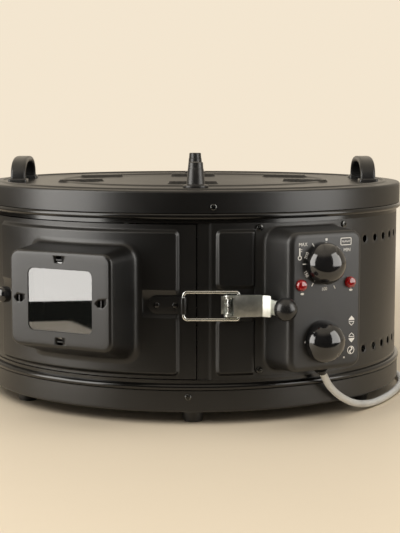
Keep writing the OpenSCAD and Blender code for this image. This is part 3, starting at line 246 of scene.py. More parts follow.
@dataclass(frozen=True)
class Finish:
    """A named finish, made once and shared by its pieces."""

    name: str

    def mix(self, recipe: Recipe) -> None:
        """Fills the recipe; each kind of finish has its own."""
        raise NotImplementedError

    def material(self) -> bpy.types.Material:
        """The finish as a material.

        Returns:
            The material, made on first use.
        """
        made = bpy.data.materials.get(self.name)
        if made is None:
            made = bpy.data.materials.new(self.name)
            made.use_nodes = True
            self.mix(Recipe(made.node_tree))
        return made


@dataclass(frozen=True)
class Coat(Finish):
    """Powder coat on sheet steel: two near-black tones, a fine orange peel, and dust that dulls it."""

    dark: RGB
    light: RGB
    roughness: float
    peel: float = 0.25
    dust: float = 0.12
    grain: float = 900.0

    def mix(self, recipe: Recipe) -> None:
        """Colour and roughness wander with a cloud and a speckle; bump is peel plus speckle.

        Args:
            recipe: Where the nodes go.
        """
        place = recipe.place()
        peel = recipe.noise(place, self.grain, 2.0)
        speck = recipe.noise(place, self.grain * 3.6, 2.0)
        cloud = recipe.noise(place, 16.0, 5.0)
        tone = recipe.ramp(speck * 0.55 + cloud * 0.45, 0.38, 0.66)
        rough = self.roughness + (cloud - 0.5) * self.dust + (speck - 0.5) * 0.1
        recipe.surface(
            {
                "Base Color": recipe.blend(tone, self.dark, self.light),
                "Roughness": rough,
                "Normal": recipe.bump(peel * 0.6 + speck * 0.4, self.peel, 0.0002),
            }
        )


@dataclass(frozen=True)
class Metal(Finish):
    """Bare or plated metal: brush lines along one axis, patches of tint, and a little stain."""

    colour: RGB
    tint: RGB
    roughness: float
    spread: float = 0.14
    brush: RGB = (40.0, 40.0, 900.0)

    def mix(self, recipe: Recipe) -> None:
        """Brush lines are noise stretched along an axis; patches are slow noise.

        Args:
            recipe: Where the nodes go.
        """
        place = recipe.place()
        lines = recipe.noise(recipe.stretched(place, self.brush), 1.0, 4.0)
        patch = recipe.noise(place, 90.0, 5.0)
        stain = recipe.ramp(recipe.noise(place, 260.0, 4.0), 0.52, 0.75)
        rough = self.roughness + (lines - 0.5) * self.spread + stain * 0.08
        tone = recipe.ramp(patch * 0.6 + lines * 0.4, 0.35, 0.68)
        recipe.surface(
            {
                "Base Color": recipe.blend(tone, self.tint, self.colour),
                "Metallic": 1.0,
                "Roughness": rough,
                "Normal": recipe.bump(lines, 0.08, 0.00004),
            }
        )


@dataclass(frozen=True)
class Moulded(Finish):
    """Moulded plastic or phenolic: flow tones, fine scratches and a light mould grain."""

    dark: RGB
    light: RGB
    roughness: float
    grain: float = 0.12
    coat: float = 0.0

    def mix(self, recipe: Recipe) -> None:
        """Tone follows slow flow noise; scratches are long thin noise that dulls the gloss.

        Args:
            recipe: Where the nodes go.
        """
        place = recipe.place()
        flow = recipe.noise(place, 70.0, 4.0)
        pores = recipe.noise(place, 2600.0, 2.0)
        drawn = recipe.noise(recipe.stretched(place, (1500.0, 60.0, 420.0)), 1.0, 3.0)
        scratch = recipe.ramp(drawn, 0.6, 0.8)
        rough = self.roughness + (flow - 0.5) * 0.08 + scratch * 0.1 + (pores - 0.5) * 0.05
        recipe.surface(
            {
                "Base Color": recipe.blend(recipe.ramp(flow, 0.3, 0.7), self.dark, self.light),
                "Roughness": rough,
                "Coat Weight": self.coat,
                "Coat Roughness": 0.06,
                "Normal": recipe.bump(pores * 0.7 + scratch * 0.3, self.grain, 0.0001),
            }
        )


@dataclass(frozen=True)
class LampCap(Finish):
    """Clear red moulded cap: faint facets inside with painted light and shade on them, a painted shade of
    deep red in their corners, and a faint painted glow.
    """

    # Painted light and shade of the facets: lit red in their middles, a painted shade of deep red in their
    # corners.
    shaded_facet_red: RGB = (0.17, 0.003, 0.004)
    lit_facet_red: RGB = (0.34, 0.010, 0.010)

    def mix(self, recipe: Recipe) -> None:
        """Cells of about 1.5 mm give the facets their painted light and shade, a faint painted glow of that
        colour, and their bump.

        Args:
            recipe: Where the nodes go.
        """
        place = recipe.place()
        cell = recipe.node("ShaderNodeTexVoronoi", {"feature": "F1"}, {"Vector": place, "Scale": 620.0})
        # Painted shade: each facet darkens from its middle towards its corners.
        depth = recipe.ramp(cell, 0.1, 0.7)
        colour = recipe.blend(depth, self.lit_facet_red, self.shaded_facet_red)
        recipe.surface(
            {
                "Base Color": colour,
                "Roughness": 0.07 + recipe.noise(place, 900.0) * 0.06,
                # Painted glow: the cap gives off a little light in its facets' painted colour, as light
                # caught inside it.
                "Emission Color": colour,
                "Emission Strength": 0.08,
                "Coat Weight": 0.8,
                "Normal": recipe.bump(1.0 - cell, 0.05, 0.0002),
            }
        )


@dataclass(frozen=True)
class Pane(Finish):
    """Tempered oven glass before a dark cavity: it mirrors and has smears; its near-black tint and mostly
    opaque body are painted shade for the cavity, so only a little behind it shows.
    """

    # Painted shade: the pane is drawn as a near-black sheet, 82 % opaque, standing in for the dark cavity
    # seen through it.
    tint: RGB = (0.006, 0.007, 0.0065)
    body: float = 0.82

    def mix(self, recipe: Recipe) -> None:
        """Smears of slow noise roughen it and thicken it a little.

        Args:
            recipe: Where the nodes go.
        """
        place = recipe.place()
        smear = recipe.ramp(recipe.noise(recipe.stretched(place, (18.0, 18.0, 60.0)), 1.0, 5.0), 0.5, 0.9)
        recipe.surface(
            {
                "Base Color": (*self.tint, 1.0),
                "Roughness": 0.015 + smear * 0.05,
                "Specular IOR Level": 1.0,
                "IOR": 1.5,
                "Coat Weight": 1.0,
                "Coat Roughness": 0.015,
                # Painted shade: the opaque share of the near-black sheet; smears thicken it a little more.
                "Alpha": self.body + smear * 0.06,
            }
        )


@dataclass(frozen=True)
class Sheath(Finish):
    """Extruded vinyl sheath of a cord: draw lines along it, handling marks, a dull sheen."""

    pale: RGB = (0.70, 0.71, 0.70)
    worn: RGB = (0.58, 0.58, 0.57)

    def mix(self, recipe: Recipe) -> None:
        """The piece's own map runs along the cord, so draw lines are noise stretched along it.

        Args:
            recipe: Where the nodes go.
        """
        along = recipe.node("ShaderNodeUVMap", {"uv_map": "run"})
        draw = recipe.noise(recipe.stretched(along, (3.0, 40.0, 1.0)), 1.0, 3.0)
        marks = recipe.noise(recipe.place(), 45.0, 5.0)
        recipe.surface(
            {
                "Base Color": recipe.blend(recipe.ramp(marks, 0.42, 0.75), self.pale, self.worn),
                "Roughness": 0.42 + (draw - 0.5) * 0.2 + (marks - 0.5) * 0.1,
                "Normal": recipe.bump(draw, 0.15, 0.0001),
            }
        )


@dataclass(frozen=True)
class Ink(Finish):
    """Screen printed ink: thin in places, so the panel greys it."""

    full: RGB = (0.82, 0.81, 0.78)
    thin: RGB = (0.5, 0.49, 0.47)

    def mix(self, recipe: Recipe) -> None:
        """Thin places follow fine noise.

        Args:
            recipe: Where the nodes go.
        """
        place = recipe.place()
        worn = recipe.ramp(recipe.noise(place, 1400.0, 3.0), 0.5, 0.8)
        colour = recipe.blend(worn, self.full, self.thin)
        recipe.surface({"Base Color": colour, "Roughness": 0.5 + worn * 0.15})


class Finishes:
    """Every finish of the oven."""

    BLACK = Coat("coat_black", (0.0032, 0.0030, 0.0028), (0.0066, 0.0061, 0.0056), 0.35)
    GLOSS = Coat(
        "enamel_gloss", (0.003, 0.0028, 0.0026), (0.0055, 0.005, 0.0046), 0.18, peel=0.1, dust=0.06
    )
    PANEL = Coat(
        "panel_coat", (0.008, 0.0077, 0.0073), (0.016, 0.0153, 0.0145), 0.40, peel=0.4, grain=700.0
    )
    ZINC = Metal("zinc_plate", (0.78, 0.79, 0.76), (0.64, 0.65, 0.62), 0.26, spread=0.06)
    GALVANISED = Metal(
        "galvanised", (0.80, 0.81, 0.77), (0.60, 0.62, 0.58), 0.36, spread=0.08, brush=(260.0, 260.0, 260.0)
    )
    SCREW = Metal("black_oxide", (0.13, 0.13, 0.125), (0.06, 0.06, 0.058), 0.26)
    STEEL = Metal("raw_steel", (0.50, 0.49, 0.47), (0.36, 0.35, 0.33), 0.34)
    ALUMINIUM = Metal(
        "mill_aluminium", (0.72, 0.72, 0.71), (0.58, 0.58, 0.57), 0.3, brush=(60.0, 700.0, 60.0)
    )
    CHROME = Metal("bright_chrome", (0.82, 0.82, 0.83), (0.72, 0.72, 0.73), 0.1, spread=0.06)
    SHEATH_TUBE = Metal("heater_tube", (0.20, 0.19, 0.18), (0.11, 0.10, 0.10), 0.45)
    COPPER = Metal("copper_bulb", (0.72, 0.38, 0.22), (0.45, 0.21, 0.12), 0.35)
    BRASS = Metal("nickel_pins", (0.70, 0.64, 0.50), (0.55, 0.49, 0.36), 0.25)
    CERAMIC = Coat("fired_ceramic", (0.62, 0.59, 0.53), (0.72, 0.70, 0.65), 0.55, peel=0.3)
    PLASTIC = Moulded("handle_phenolic", (0.010, 0.0095, 0.009), (0.017, 0.016, 0.015), 0.34, 0.2)
    KNOB = Moulded("knob_gloss", (0.007, 0.007, 0.0075), (0.011, 0.011, 0.0115), 0.13, 0.04, 0.5)
    BALL = Moulded("ball_satin", (0.009, 0.009, 0.009), (0.014, 0.014, 0.014), 0.27, 0.08)
    LAMP = LampCap("lamp_red")
    GLASS = Pane("tempered_glass")
    CORD = Sheath("cord_sheath")
    PLUG = Moulded("plug_grey", (0.58, 0.58, 0.57), (0.66, 0.66, 0.65), 0.45, 0.2)
    TIE = Moulded("tie_black", (0.012, 0.012, 0.012), (0.02, 0.02, 0.02), 0.5, 0.3)
    INK = Ink("panel_ink")


@dataclass
class Shell:
    """One surface: its points, and its faces as arrays of point numbers."""

    points: Array
    faces: list[Faces]

    def placed(self, origin: Array | Point, first: Array, second: Array, third: Array) -> "Shell":
        """The shell carried from its own three axes to a place in the frame."""
        turn = np.stack([first, second, third])
        return Shell(np.asarray(origin) + self.points @ turn, self.faces)

    def mesh(self, name: str) -> bpy.types.Mesh:
        """The shell as a mesh.

        Args:
            name: The mesh's name.

        Returns:
            The mesh, in metres.
        """
        mesh = bpy.data.meshes.new(name)
        corners = np.concatenate([f.ravel() for f in self.faces]).astype(np.int32)
        totals = np.concatenate([np.full(len(f), f.shape[1]) for f in self.faces])
        starts = np.concatenate([[0], np.cumsum(totals)[:-1]]).astype(np.int32)
        mesh.vertices.add(len(self.points))
        mesh.vertices.foreach_set("co", (self.points * MM).ravel())
        mesh.loops.add(len(corners))
        mesh.polygons.add(len(totals))
        mesh.polygons.foreach_set("loop_start", starts)
        mesh.polygons.foreach_set("vertices", corners)
        mesh.update(calc_edges=True)
        return mesh


def joined(shells: Sequence[Shell]) -> Shell:
    """Several shells as one.

    Args:
        shells: The shells, in any order.

    Returns:
        One shell with all their points and faces.
    """
    starts = np.cumsum([0] + [len(s.points) for s in shells[:-1]])
    faces = [f + start for s, start in zip(shells, starts) for f in s.faces]
    return Shell(np.concatenate([s.points for s in shells]), faces)


def zipped(*parts: Any) -> NDArray[Any]:
    """Arrays set side by side along a new last axis."""
    return np.stack(np.broadcast_arrays(*parts), axis=-1)


def full_turn(steps: int) -> Array:
    """Angles of a full turn in equal steps, in radians."""
    return np.linspace(0.0, 2 * math.pi, steps, endpoint=False)


def ease(value: Array) -> Array:
    """Smooth step: 3v² - 2v³ of a value held between 0 and 1."""
    held = np.clip(value, 0.0, 1.0)
    return held * held * (3.0 - 2.0 * held)


def lines(stops: Sequence[float], counts: Sequence[int]) -> Array:
    """Grid lines between stops, each stretch cut into its own count of equal steps.

    Args:
        stops: Where the stretches begin and end.
        counts: Steps in each stretch.

    Returns:
        Every line, from the first stop to the last.
    """
    parts = [np.linspace(a, b, n, endpoint=False) for a, b, n in zip(stops, stops[1:], counts)]
    return np.append(np.concatenate(parts), stops[-1])


def polar(az: Any, r: Any, z: Any) -> Array:
    """Points round the drum's axis, by azimuth from the front, radius and height."""
    turn = np.radians(az)
    return zipped(r * np.sin(turn), -r * np.cos(turn), z)


def on_face(az: float, along: Any, rho: Any, z: Any) -> Array:
    """Points in the upright plane's axes that face one azimuth.

    Args:
        az: The azimuth.
        along: Distances along the tangent there.
        rho: Distances out from the drum's axis.
        z: Heights.

    Returns:
        The points.
    """
    turn = math.radians(az)
    x = np.asarray(along) * math.cos(turn) + np.asarray(rho) * math.sin(turn)
    y = np.asarray(along) * math.sin(turn) - np.asarray(rho) * math.cos(turn)
    return zipped(x, y, z)


def facing(az: float) -> tuple[Array, Array, Array]:
    """The three directions at an azimuth.

    Args:
        az: The azimuth.

    Returns:
        Tangent, up and outward.
    """
    turn = math.radians(az)
    tangent = np.array([math.cos(turn), math.sin(turn), 0.0])
    outward = np.array([math.sin(turn), -math.cos(turn), 0.0])
    return tangent, UP, outward


def grid_faces(rows: int, cols: int, wrap_rows: bool = False, wrap_cols: bool = False) -> Faces:
    """Four-cornered faces of a grid of points.

    Args:
        rows: Rows in the grid.
        cols: Points in each row.
        wrap_rows: True where the last row meets the first.
        wrap_cols: True where each row closes on itself.

    Returns:
        The faces, as point numbers.
    """
    i = np.arange(rows if wrap_rows else rows - 1)[:, None]
    j = np.arange(cols if wrap_cols else cols - 1)[None, :]
    below, above = i * cols, (i + 1) % rows * cols
    nxt = (j + 1) % cols
    return zipped(below + j, below + nxt, above + nxt, above + j).reshape(-1, 4)


def skin(grid: Array, wrap_rows: bool = False) -> Shell:
    """A grid of points as a shell, each row closed on itself."""
    return Shell(grid.reshape(-1, 3), [grid_faces(*grid.shape[:2], wrap_rows, True)])


def filleted(corners: Sequence[Sequence[float]], radii: Sequence[float], steps: int = 6) -> Array:
    """A line through corners, each corner cut by a tangent arc of its own radius.

    Args:
        corners: The line's corner points, in two or three dimensions.
        radii: An arc radius for each corner; 0 leaves it sharp.
        steps: Steps in each arc.

    Returns:
        The points of the softened line.
    """
    p = np.asarray(corners, float)
    out = [p[:1]]
    for before, here, after, radius in zip(p, p[1:], p[2:], radii[1:]):
        u, v = before - here, after - here
        u, v = u / np.linalg.norm(u), v / np.linalg.norm(v)
        half = math.acos(float(np.clip(u @ v, -1.0, 1.0))) / 2
        if radius <= 0 or half > math.pi / 2 - 1e-4:
            out.append(here[None])
            continue
        bisector = (u + v) / np.linalg.norm(u + v)
        centre = here + bisector * radius / math.sin(half)
        first = here + u * radius / math.tan(half) - centre
        second = -bisector * radius
        second = second - (second @ first) / radius**2 * first
        second = second / np.linalg.norm(second) * radius
        phi = np.linspace(0.0, math.pi - 2 * half, steps + 1)[:, None]
        out.append(centre + first * np.cos(phi) + second * np.sin(phi))
    return np.concatenate([*out, p[-1:]])


def turned(profile: Array, segments: int, ring: bool = False) -> Shell:
    """Surface of revolution about the drum's axis: (r, z) carried round a full turn.

    Args:
        profile: Points (r, z), upwards on the outside.
        segments: Steps in the turn.
        ring: True where the profile closes on itself.

    Returns:
        The shell.
    """
    az = np.linspace(0.0, 360.0, segments, endpoint=False)
    return skin(polar(az[None, :], profile[:, :1], profile[:, 1:]), ring)


def spun(profile: Sequence[Sequence[float]] | Array, segments: int = 40) -> Shell:
    """Small turned part in its own axes: (r, h) carried round h, closed where r is 0.

    Args:
        profile: Points (r, h).
        segments: Steps in the turn.

    Returns:
        The shell.
    """
    line = np.asarray(profile, float)
    turn = full_turn(segments)
    r, h = line[:, :1], line[:, 1:]
    return skin(zipped(r * np.cos(turn), r * np.sin(turn), h))


def loft(rings: Sequence[Array], close_first: bool = True, close_last: bool = True) -> Shell:
    """A skin over outlines with equal counts of points, its open ends closed by fans.

    Args:
        rings: Outlines, each an array of points, anticlockwise seen from the last one.
        close_first: Whether a fan closes the first outline.
        close_last: Whether a fan closes the last outline.

    Returns:
        The shell.
    """
    grid = np.stack(rings)
    rows, cols = grid.shape[:2]
    points = [grid.reshape(-1, 3)]
    faces = [grid_faces(rows, cols, False, True)]
    j = np.arange(cols)
    nxt = (j + 1) % cols
    count = rows * cols
    for wanted, start, flip in ((close_first, 0, True), (close_last, (rows - 1) * cols, False)):
        if not wanted:
            continue
        points.append(grid[0 if flip else -1].mean(axis=0)[None])
        hub = np.full(cols, count)
        pair = (start + nxt, start + j) if flip else (start + j, start + nxt)
        faces.append(zipped(*pair, hub))
        count += 1
    return Shell(np.concatenate(points), faces)


def round_rect(x: Pair, z: Pair, corner: float, side: int = 12, turn: int = 8) -> Array:
    """Outline of a rounded rectangle, anticlockwise, with the same count of points at any size.

    Args:
        x: Left and right edges.
        z: Low and top edges.
        corner: Corner radius.
        side: Steps along each straight side.
        turn: Steps round each corner.

    Returns:
        The outline's points (x, z).
    """
    corners = np.array([[x[1], z[0]], [x[1], z[1]], [x[0], z[1]], [x[0], z[0]]])
    centres = corners + corner * np.array([[-1, 1], [-1, -1], [1, -1], [1, 1]])
    angle = np.radians(np.array([-90.0, 0.0, 90.0, 180.0])[:, None] + np.linspace(0.0, 90.0, turn + 1))
    arcs = centres[:, None, :] + corner * zipped(np.cos(angle), np.sin(angle))
    share = np.linspace(0.0, 1.0, side + 1)[None, 1:-1, None]
    straights = arcs[:, -1:, :] * (1 - share) + np.roll(arcs, -1, axis=0)[:, :1, :] * share
    return np.concatenate([arcs, straights], axis=1).reshape(-1, 2)


def circle(radius: float, segments: int = 16) -> Array:
    """A round section."""
    turn = full_turn(segments)
    return radius * zipped(np.cos(turn), np.sin(turn))


def run_along(path: Array) -> Array:
    """The distance along a path at each of its points."""
    return np.concatenate([[0.0], np.cumsum(np.linalg.norm(np.diff(path, axis=0), axis=1))])


def carried(path: Array, section: Array, across: Array, closed: bool = False) -> Shell:
    """A section carried along a path, square to it at every point.

    The section's first axis is across crossed with the path's direction, and the second is square to both.

    Args:
        path: Points of the path.
        section: Points (a, b) of the section, anticlockwise.
        across: A direction that the path is never parallel to.
        closed: True where the path is a ring.

    Returns:
        The shell, its ends closed by fans.
    """
    if closed:
        ahead = np.roll(path, -1, axis=0) - np.roll(path, 1, axis=0)
    else:
        ahead = np.gradient(path, axis=0)
    ahead = ahead / np.linalg.norm(ahead, axis=1, keepdims=True)
    first = np.cross(across, ahead)
    first = first / np.linalg.norm(first, axis=1, keepdims=True)
    second = np.cross(ahead, first)
    rings = (
        path[:, None, :]
        + section[None, :, :1] * first[:, None, :]
        + section[None, :, 1:] * second[:, None, :]
    )
    return skin(rings, True) if closed else loft(list(rings))


def smooth_path(points: Sequence[Sequence[float]], steps: int) -> Array:
    """A Catmull-Rom curve through points: each span a cubic that matches its neighbours' slopes.

    Args:
        points: The points to pass through.
        steps: Steps in each span.

    Returns:
        Points along the curve.
    """
    p = np.asarray(points, float)
    ends = np.concatenate([2 * p[:1] - p[1:2], p, 2 * p[-1:] - p[-2:-1]])
    a, b, c, d = ends[:-3, None], ends[1:-2, None], ends[2:-1, None], ends[3:, None]
    t = np.linspace(0.0, 1.0, steps, endpoint=False)[None, :, None]
    square, cube = 2 * a - 5 * b + 4 * c - d, 3 * b - a - 3 * c + d
    curve = 0.5 * (2 * b + (c - a) * t + square * t**2 + cube * t**3)
    return np.concatenate([curve.reshape(-1, 3), p[-1:]])


def ribbed(length: float, r: float, flare: float, gap: float, depth: float, steps: int) -> Array:
    """Profile of a bend guard: r + flare × h, less a smooth dip of that depth between ribs a gap apart.

    Args:
        length: The guard's length.
        r: Its radius at the tip.
        flare: How fast the radius grows along it.
        gap: Distance from rib to rib.
        depth: Depth of the dips.
        steps: Points in the profile.

    Returns:
        Points (r, h).
    """
    h = np.linspace(0.0, length, steps)
    dip = ease(2 * np.abs((h / gap) % 1.0 - 0.5) * 1.6 - 0.5)
    return zipped(r + h * flare - depth * dip, h)


def patch(outline: Array, hub: Pair = (0.0, 0.0)) -> Shell:
    """A filled flat shape: triangles from a hub inside it to its outline.

    Args:
        outline: Points (x, y), anticlockwise.
        hub: A point that sees the whole outline.

    Returns:
        A flat shell in the plane of its first two axes.
    """
    count = len(outline)
    j = np.arange(count)
    flat = np.pad(np.concatenate([[hub], outline]), ((0, 0), (0, 1)))
    return Shell(flat, [zipped(np.zeros_like(j), 1 + j, 1 + (j + 1) % count)])


def ribbon(points: Sequence[Sequence[float]] | Array, width: float, closed: bool = False) -> Shell:
    """A flat stroke of even width along a line in the print's own plane.

    Args:
        points: The line's points (x, y).
        width: The stroke's width.
        closed: True where the line returns to its start.

    Returns:
        A flat shell in the plane of its first two axes.
    """
    p = np.asarray(points, float)
    ahead = np.roll(p, -1, axis=0) - np.roll(p, 1, axis=0) if closed else np.gradient(p, axis=0)
    side = zipped(-ahead[:, 1], ahead[:, 0])
    side = side / np.linalg.norm(side, axis=1, keepdims=True) * width / 2
    grid = np.stack([p + side, p - side]).reshape(-1, 2)
    flat = np.concatenate([grid, np.zeros((len(grid), 1))], axis=1)
    return Shell(flat, [grid_faces(2, len(p), False, closed)[:, ::-1]])


def lettering(words: str, size: float, turn: float = 0.0) -> Shell:
    """Words as flat triangles about their middle, turned by an angle.

    Args:
        words: What is printed.
        size: Letter size.
        turn: Angle, anticlockwise.

    Returns:
        A flat shell in the plane of its first two axes.
    """
    curve = bpy.data.curves.new("words", "FONT")
    curve.body, curve.size, curve.align_x, curve.align_y = words, size, "CENTER", "CENTER"
    holder = bpy.data.objects.new("words", curve)
    bpy.context.scene.collection.objects.link(holder)
    mesh = bpy.data.meshes.new_from_object(holder.evaluated_get(bpy.context.evaluated_depsgraph_get()))
    mesh.calc_loop_triangles()
    points = np.zeros(len(mesh.vertices) * 3)
    mesh.vertices.foreach_get("co", points)
    faces = np.zeros(len(mesh.loop_triangles) * 3, dtype=np.int32)
    mesh.loop_triangles.foreach_get("vertices", faces)
    bpy.data.objects.remove(holder)
    bpy.data.meshes.remove(mesh)
    bpy.data.curves.remove(curve)
    angle = math.radians(turn)
    first = np.array([math.cos(angle), math.sin(angle), 0.0])
    second = np.array([-math.sin(angle), math.cos(angle), 0.0])
    flat = Shell(points.reshape(-1, 3), [faces.reshape(-1, 3).astype(np.int64)])
    return flat.placed(np.zeros(3), first, second, UP)


def cross_head(radius: float, height: float) -> Shell:
    """A pan-head screw in its own axes.

    The height over radius r is height × (0.45 + 0.55 × sqrt(1 - (r/R)²)), less a cross-shaped recess.

    Args:
        radius: Head radius.
        height: Head height.

    Returns:
        The shell.
    """
    r = np.concatenate([[1.0], np.linspace(1.0, 0.0, 20)])[:, None] * radius
    turn = full_turn(48)
    x, y = r * np.cos(turn), r * np.sin(turn)
    dome = height * (0.45 + 0.55 * np.sqrt(np.clip(1 - (r / radius) ** 2, 0.0, 1.0)))
    near, far = np.minimum(np.abs(x), np.abs(y)), np.maximum(np.abs(x), np.abs(y))
    recess = ease((0.2 * radius - near) / (0.12 * radius)) * ease((0.66 * radius - far) / (0.14 * radius))
    h = dome - 0.6 * height * recess
    h[0] = -HEAD_SEAT
    return skin(zipped(x, y, h))


def rivet_head(radius: float, height: float) -> Shell:
    """A domed rivet head in its own axes: a quarter ellipse turned round.

    Args:
        radius: Head radius.
        height: Head height.

    Returns:
        The shell.
    """
    phi = np.linspace(0.0, math.pi / 2, 9)
    dome = zipped(radius * np.cos(phi), height * np.sin(phi))
    return spun(np.concatenate([[[radius, -HEAD_SEAT]], dome]), 28)


def settle(piece: bpy.types.Object) -> None:
    """Turns a piece's modifiers into its own mesh.

    Args:
        piece: The piece.
    """
    raw = piece.data
    settled = bpy.data.meshes.new_from_object(piece.evaluated_get(bpy.context.evaluated_depsgraph_get()))
    piece.modifiers.clear()
    piece.data = settled
    bpy.data.meshes.remove(raw)
    settled.name = piece.name


def publish(
    name: str,
    shape: Shell | bpy.types.Mesh,
    finish: Finish,
    body: Body,
    nodes: Sequence[str] = (),
    thick: float = 0.0,
    bevel: float = 0.0,
    sharp: float = CRISP_ANGLE,
) -> bpy.types.Object:
    """Welds, thickens, softens, shades and paints a shape, and puts it on its body.

    Args:
        name: The piece's name.
        shape: Its surface, as a shell or as a mesh in metres.
        finish: Its finish.
        body: The body it rides on.
        nodes: The CAD nodes it stands for.
        thick: Sheet thickness inwards, where the shape is one face of a sheet.
        bevel: Width of softened edges.
        sharp: Edges over this angle stay crisp.

    Returns:
        The piece.
    """
    mesh = shape.mesh(name) if isinstance(shape, Shell) else shape
    work = bmesh.new()
    work.from_mesh(mesh)
    bmesh.ops.remove_doubles(work, verts=work.verts, dist=WELD)
    bmesh.ops.dissolve_degenerate(work, dist=SLIVER, edges=work.edges)
    if not thick:
        bmesh.ops.recalc_face_normals(work, faces=work.faces)
    work.to_mesh(mesh)
    work.free()
    piece = bpy.data.objects.new(name, mesh)
    bpy.context.scene.collection.objects.link(piece)
    if thick:
        wall = piece.modifiers.new("sheet", "SOLIDIFY")
        wall.thickness, wall.offset, wall.use_even_offset = thick * MM, -1.0, True
    if bevel:
        soft = piece.modifiers.new("soft", "BEVEL")
        soft.width, soft.segments, soft.limit_method = bevel * MM, 3, "ANGLE"
        soft.angle_limit = math.radians(sharp)
    if thick or bevel:
        settle(piece)
    piece.data.shade_smooth()
    piece.data.set_sharp_from_angle(angle=math.radians(sharp))
    piece.data.materials.clear()
    piece.data.materials.append(finish.material())
    if nodes:
        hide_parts(*nodes)
    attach(piece, body.value)
    log.info("%s: %d faces on %s", name, len(piece.data.polygons), body.value)
    return piece


def softened(frame: dict[str, Any], node: str, finish: Finish, body: Body, bevel: float) -> None:
    """A CAD node's own shape with its edges rounded over.

    Args:
        frame: The loaded frame.
        node: The node's name.
        finish: Its finish.
        body: The body it rides on.
        bevel: Width of the softened edges.
    """
    mesh = frame["nodes"][node].data.copy()
    work = bmesh.new()
    work.from_mesh(mesh)
    bmesh.ops.remove_doubles(work, verts=work.verts, dist=WELD)
    bmesh.ops.dissolve_limit(work, angle_limit=math.radians(1.0), verts=work.verts, edges=work.edges)
    work.to_mesh(mesh)
    work.free()
    publish(f"{node}_soft", mesh, finish, body, (node,), bevel=bevel)


def rect_distance(x: Array, y: Array, half: Pair, corner: float) -> Array:
    """Signed distance to a rounded rectangle about the origin, negative inside.

    Args:
        x: Places across it.
        y: Places along it.
        half: Half its width and half its height.
        corner: Corner radius.

    Returns:
        The distances.
    """
    past_x = np.abs(x) - half[0] + corner
    past_y = np.abs(y) - half[1] + corner
    outside = np.hypot(np.maximum(past_x, 0.0), np.maximum(past_y, 0.0))
    return outside + np.minimum(np.maximum(past_x, past_y), 0.0) - corner


def pressed_out(distance: Array, rise: float = PANEL_R - WALL_R, slope: float = PRESS_SLOPE) -> Array:
    """Height of a pressing: rise times a smooth step of the depth inside its outline over its slope."""
    return rise * ease(-distance / slope)


@dataclass(frozen=True)
class Panel:
    """A raised panel pressed out of the drum's wall, with rounded corners."""

    az: Pair
    z: Pair
    corner: float = 6.0

    def distance(self, az: Array, z: Array) -> Array:
        """Signed distance to the panel's outline on the unrolled wall, negative inside.

        Args:
            az: Azimuths.
            z: Heights.

        Returns:
            The distances.
        """
        x = np.radians(az - sum(self.az) / 2) * WALL_R
        half = math.radians(self.az[1] - self.az[0]) / 2 * WALL_R, (self.z[1] - self.z[0]) / 2
        return rect_distance(x, z - sum(self.z) / 2, half, self.corner)


@dataclass(frozen=True)
class Softbox:
    """One soft rectangular lamp, lit for gloss alone or for matt surfaces alone; metres and watts."""

    name: str
    place: Point
    target: Point
    size: Pair
    power: float
    for_gloss: bool
    colour: RGB = (1.0, 0.97, 0.92)

    def hang(self) -> None:
        """Adds the lamp at its place, turned to its target and hidden from the camera."""
        lamp = bpy.data.lights.new(self.name, "AREA")
        lamp.shape, lamp.size, lamp.size_y, lamp.energy = "RECTANGLE", *self.size, self.power
        lamp.color = self.colour
        holder = bpy.data.objects.new(self.name, lamp)
        holder.location = self.place
        holder.visible_camera = False
        holder.visible_glossy = self.for_gloss
        holder.visible_diffuse = not self.for_gloss
        aim = np.asarray(self.target) - np.asarray(self.place)
        flat = math.hypot(aim[0], aim[1])
        holder.rotation_euler = (math.atan2(flat, -aim[2]), 0.0, math.atan2(-aim[0], aim[1]))
        bpy.context.scene.collection.objects.link(holder)


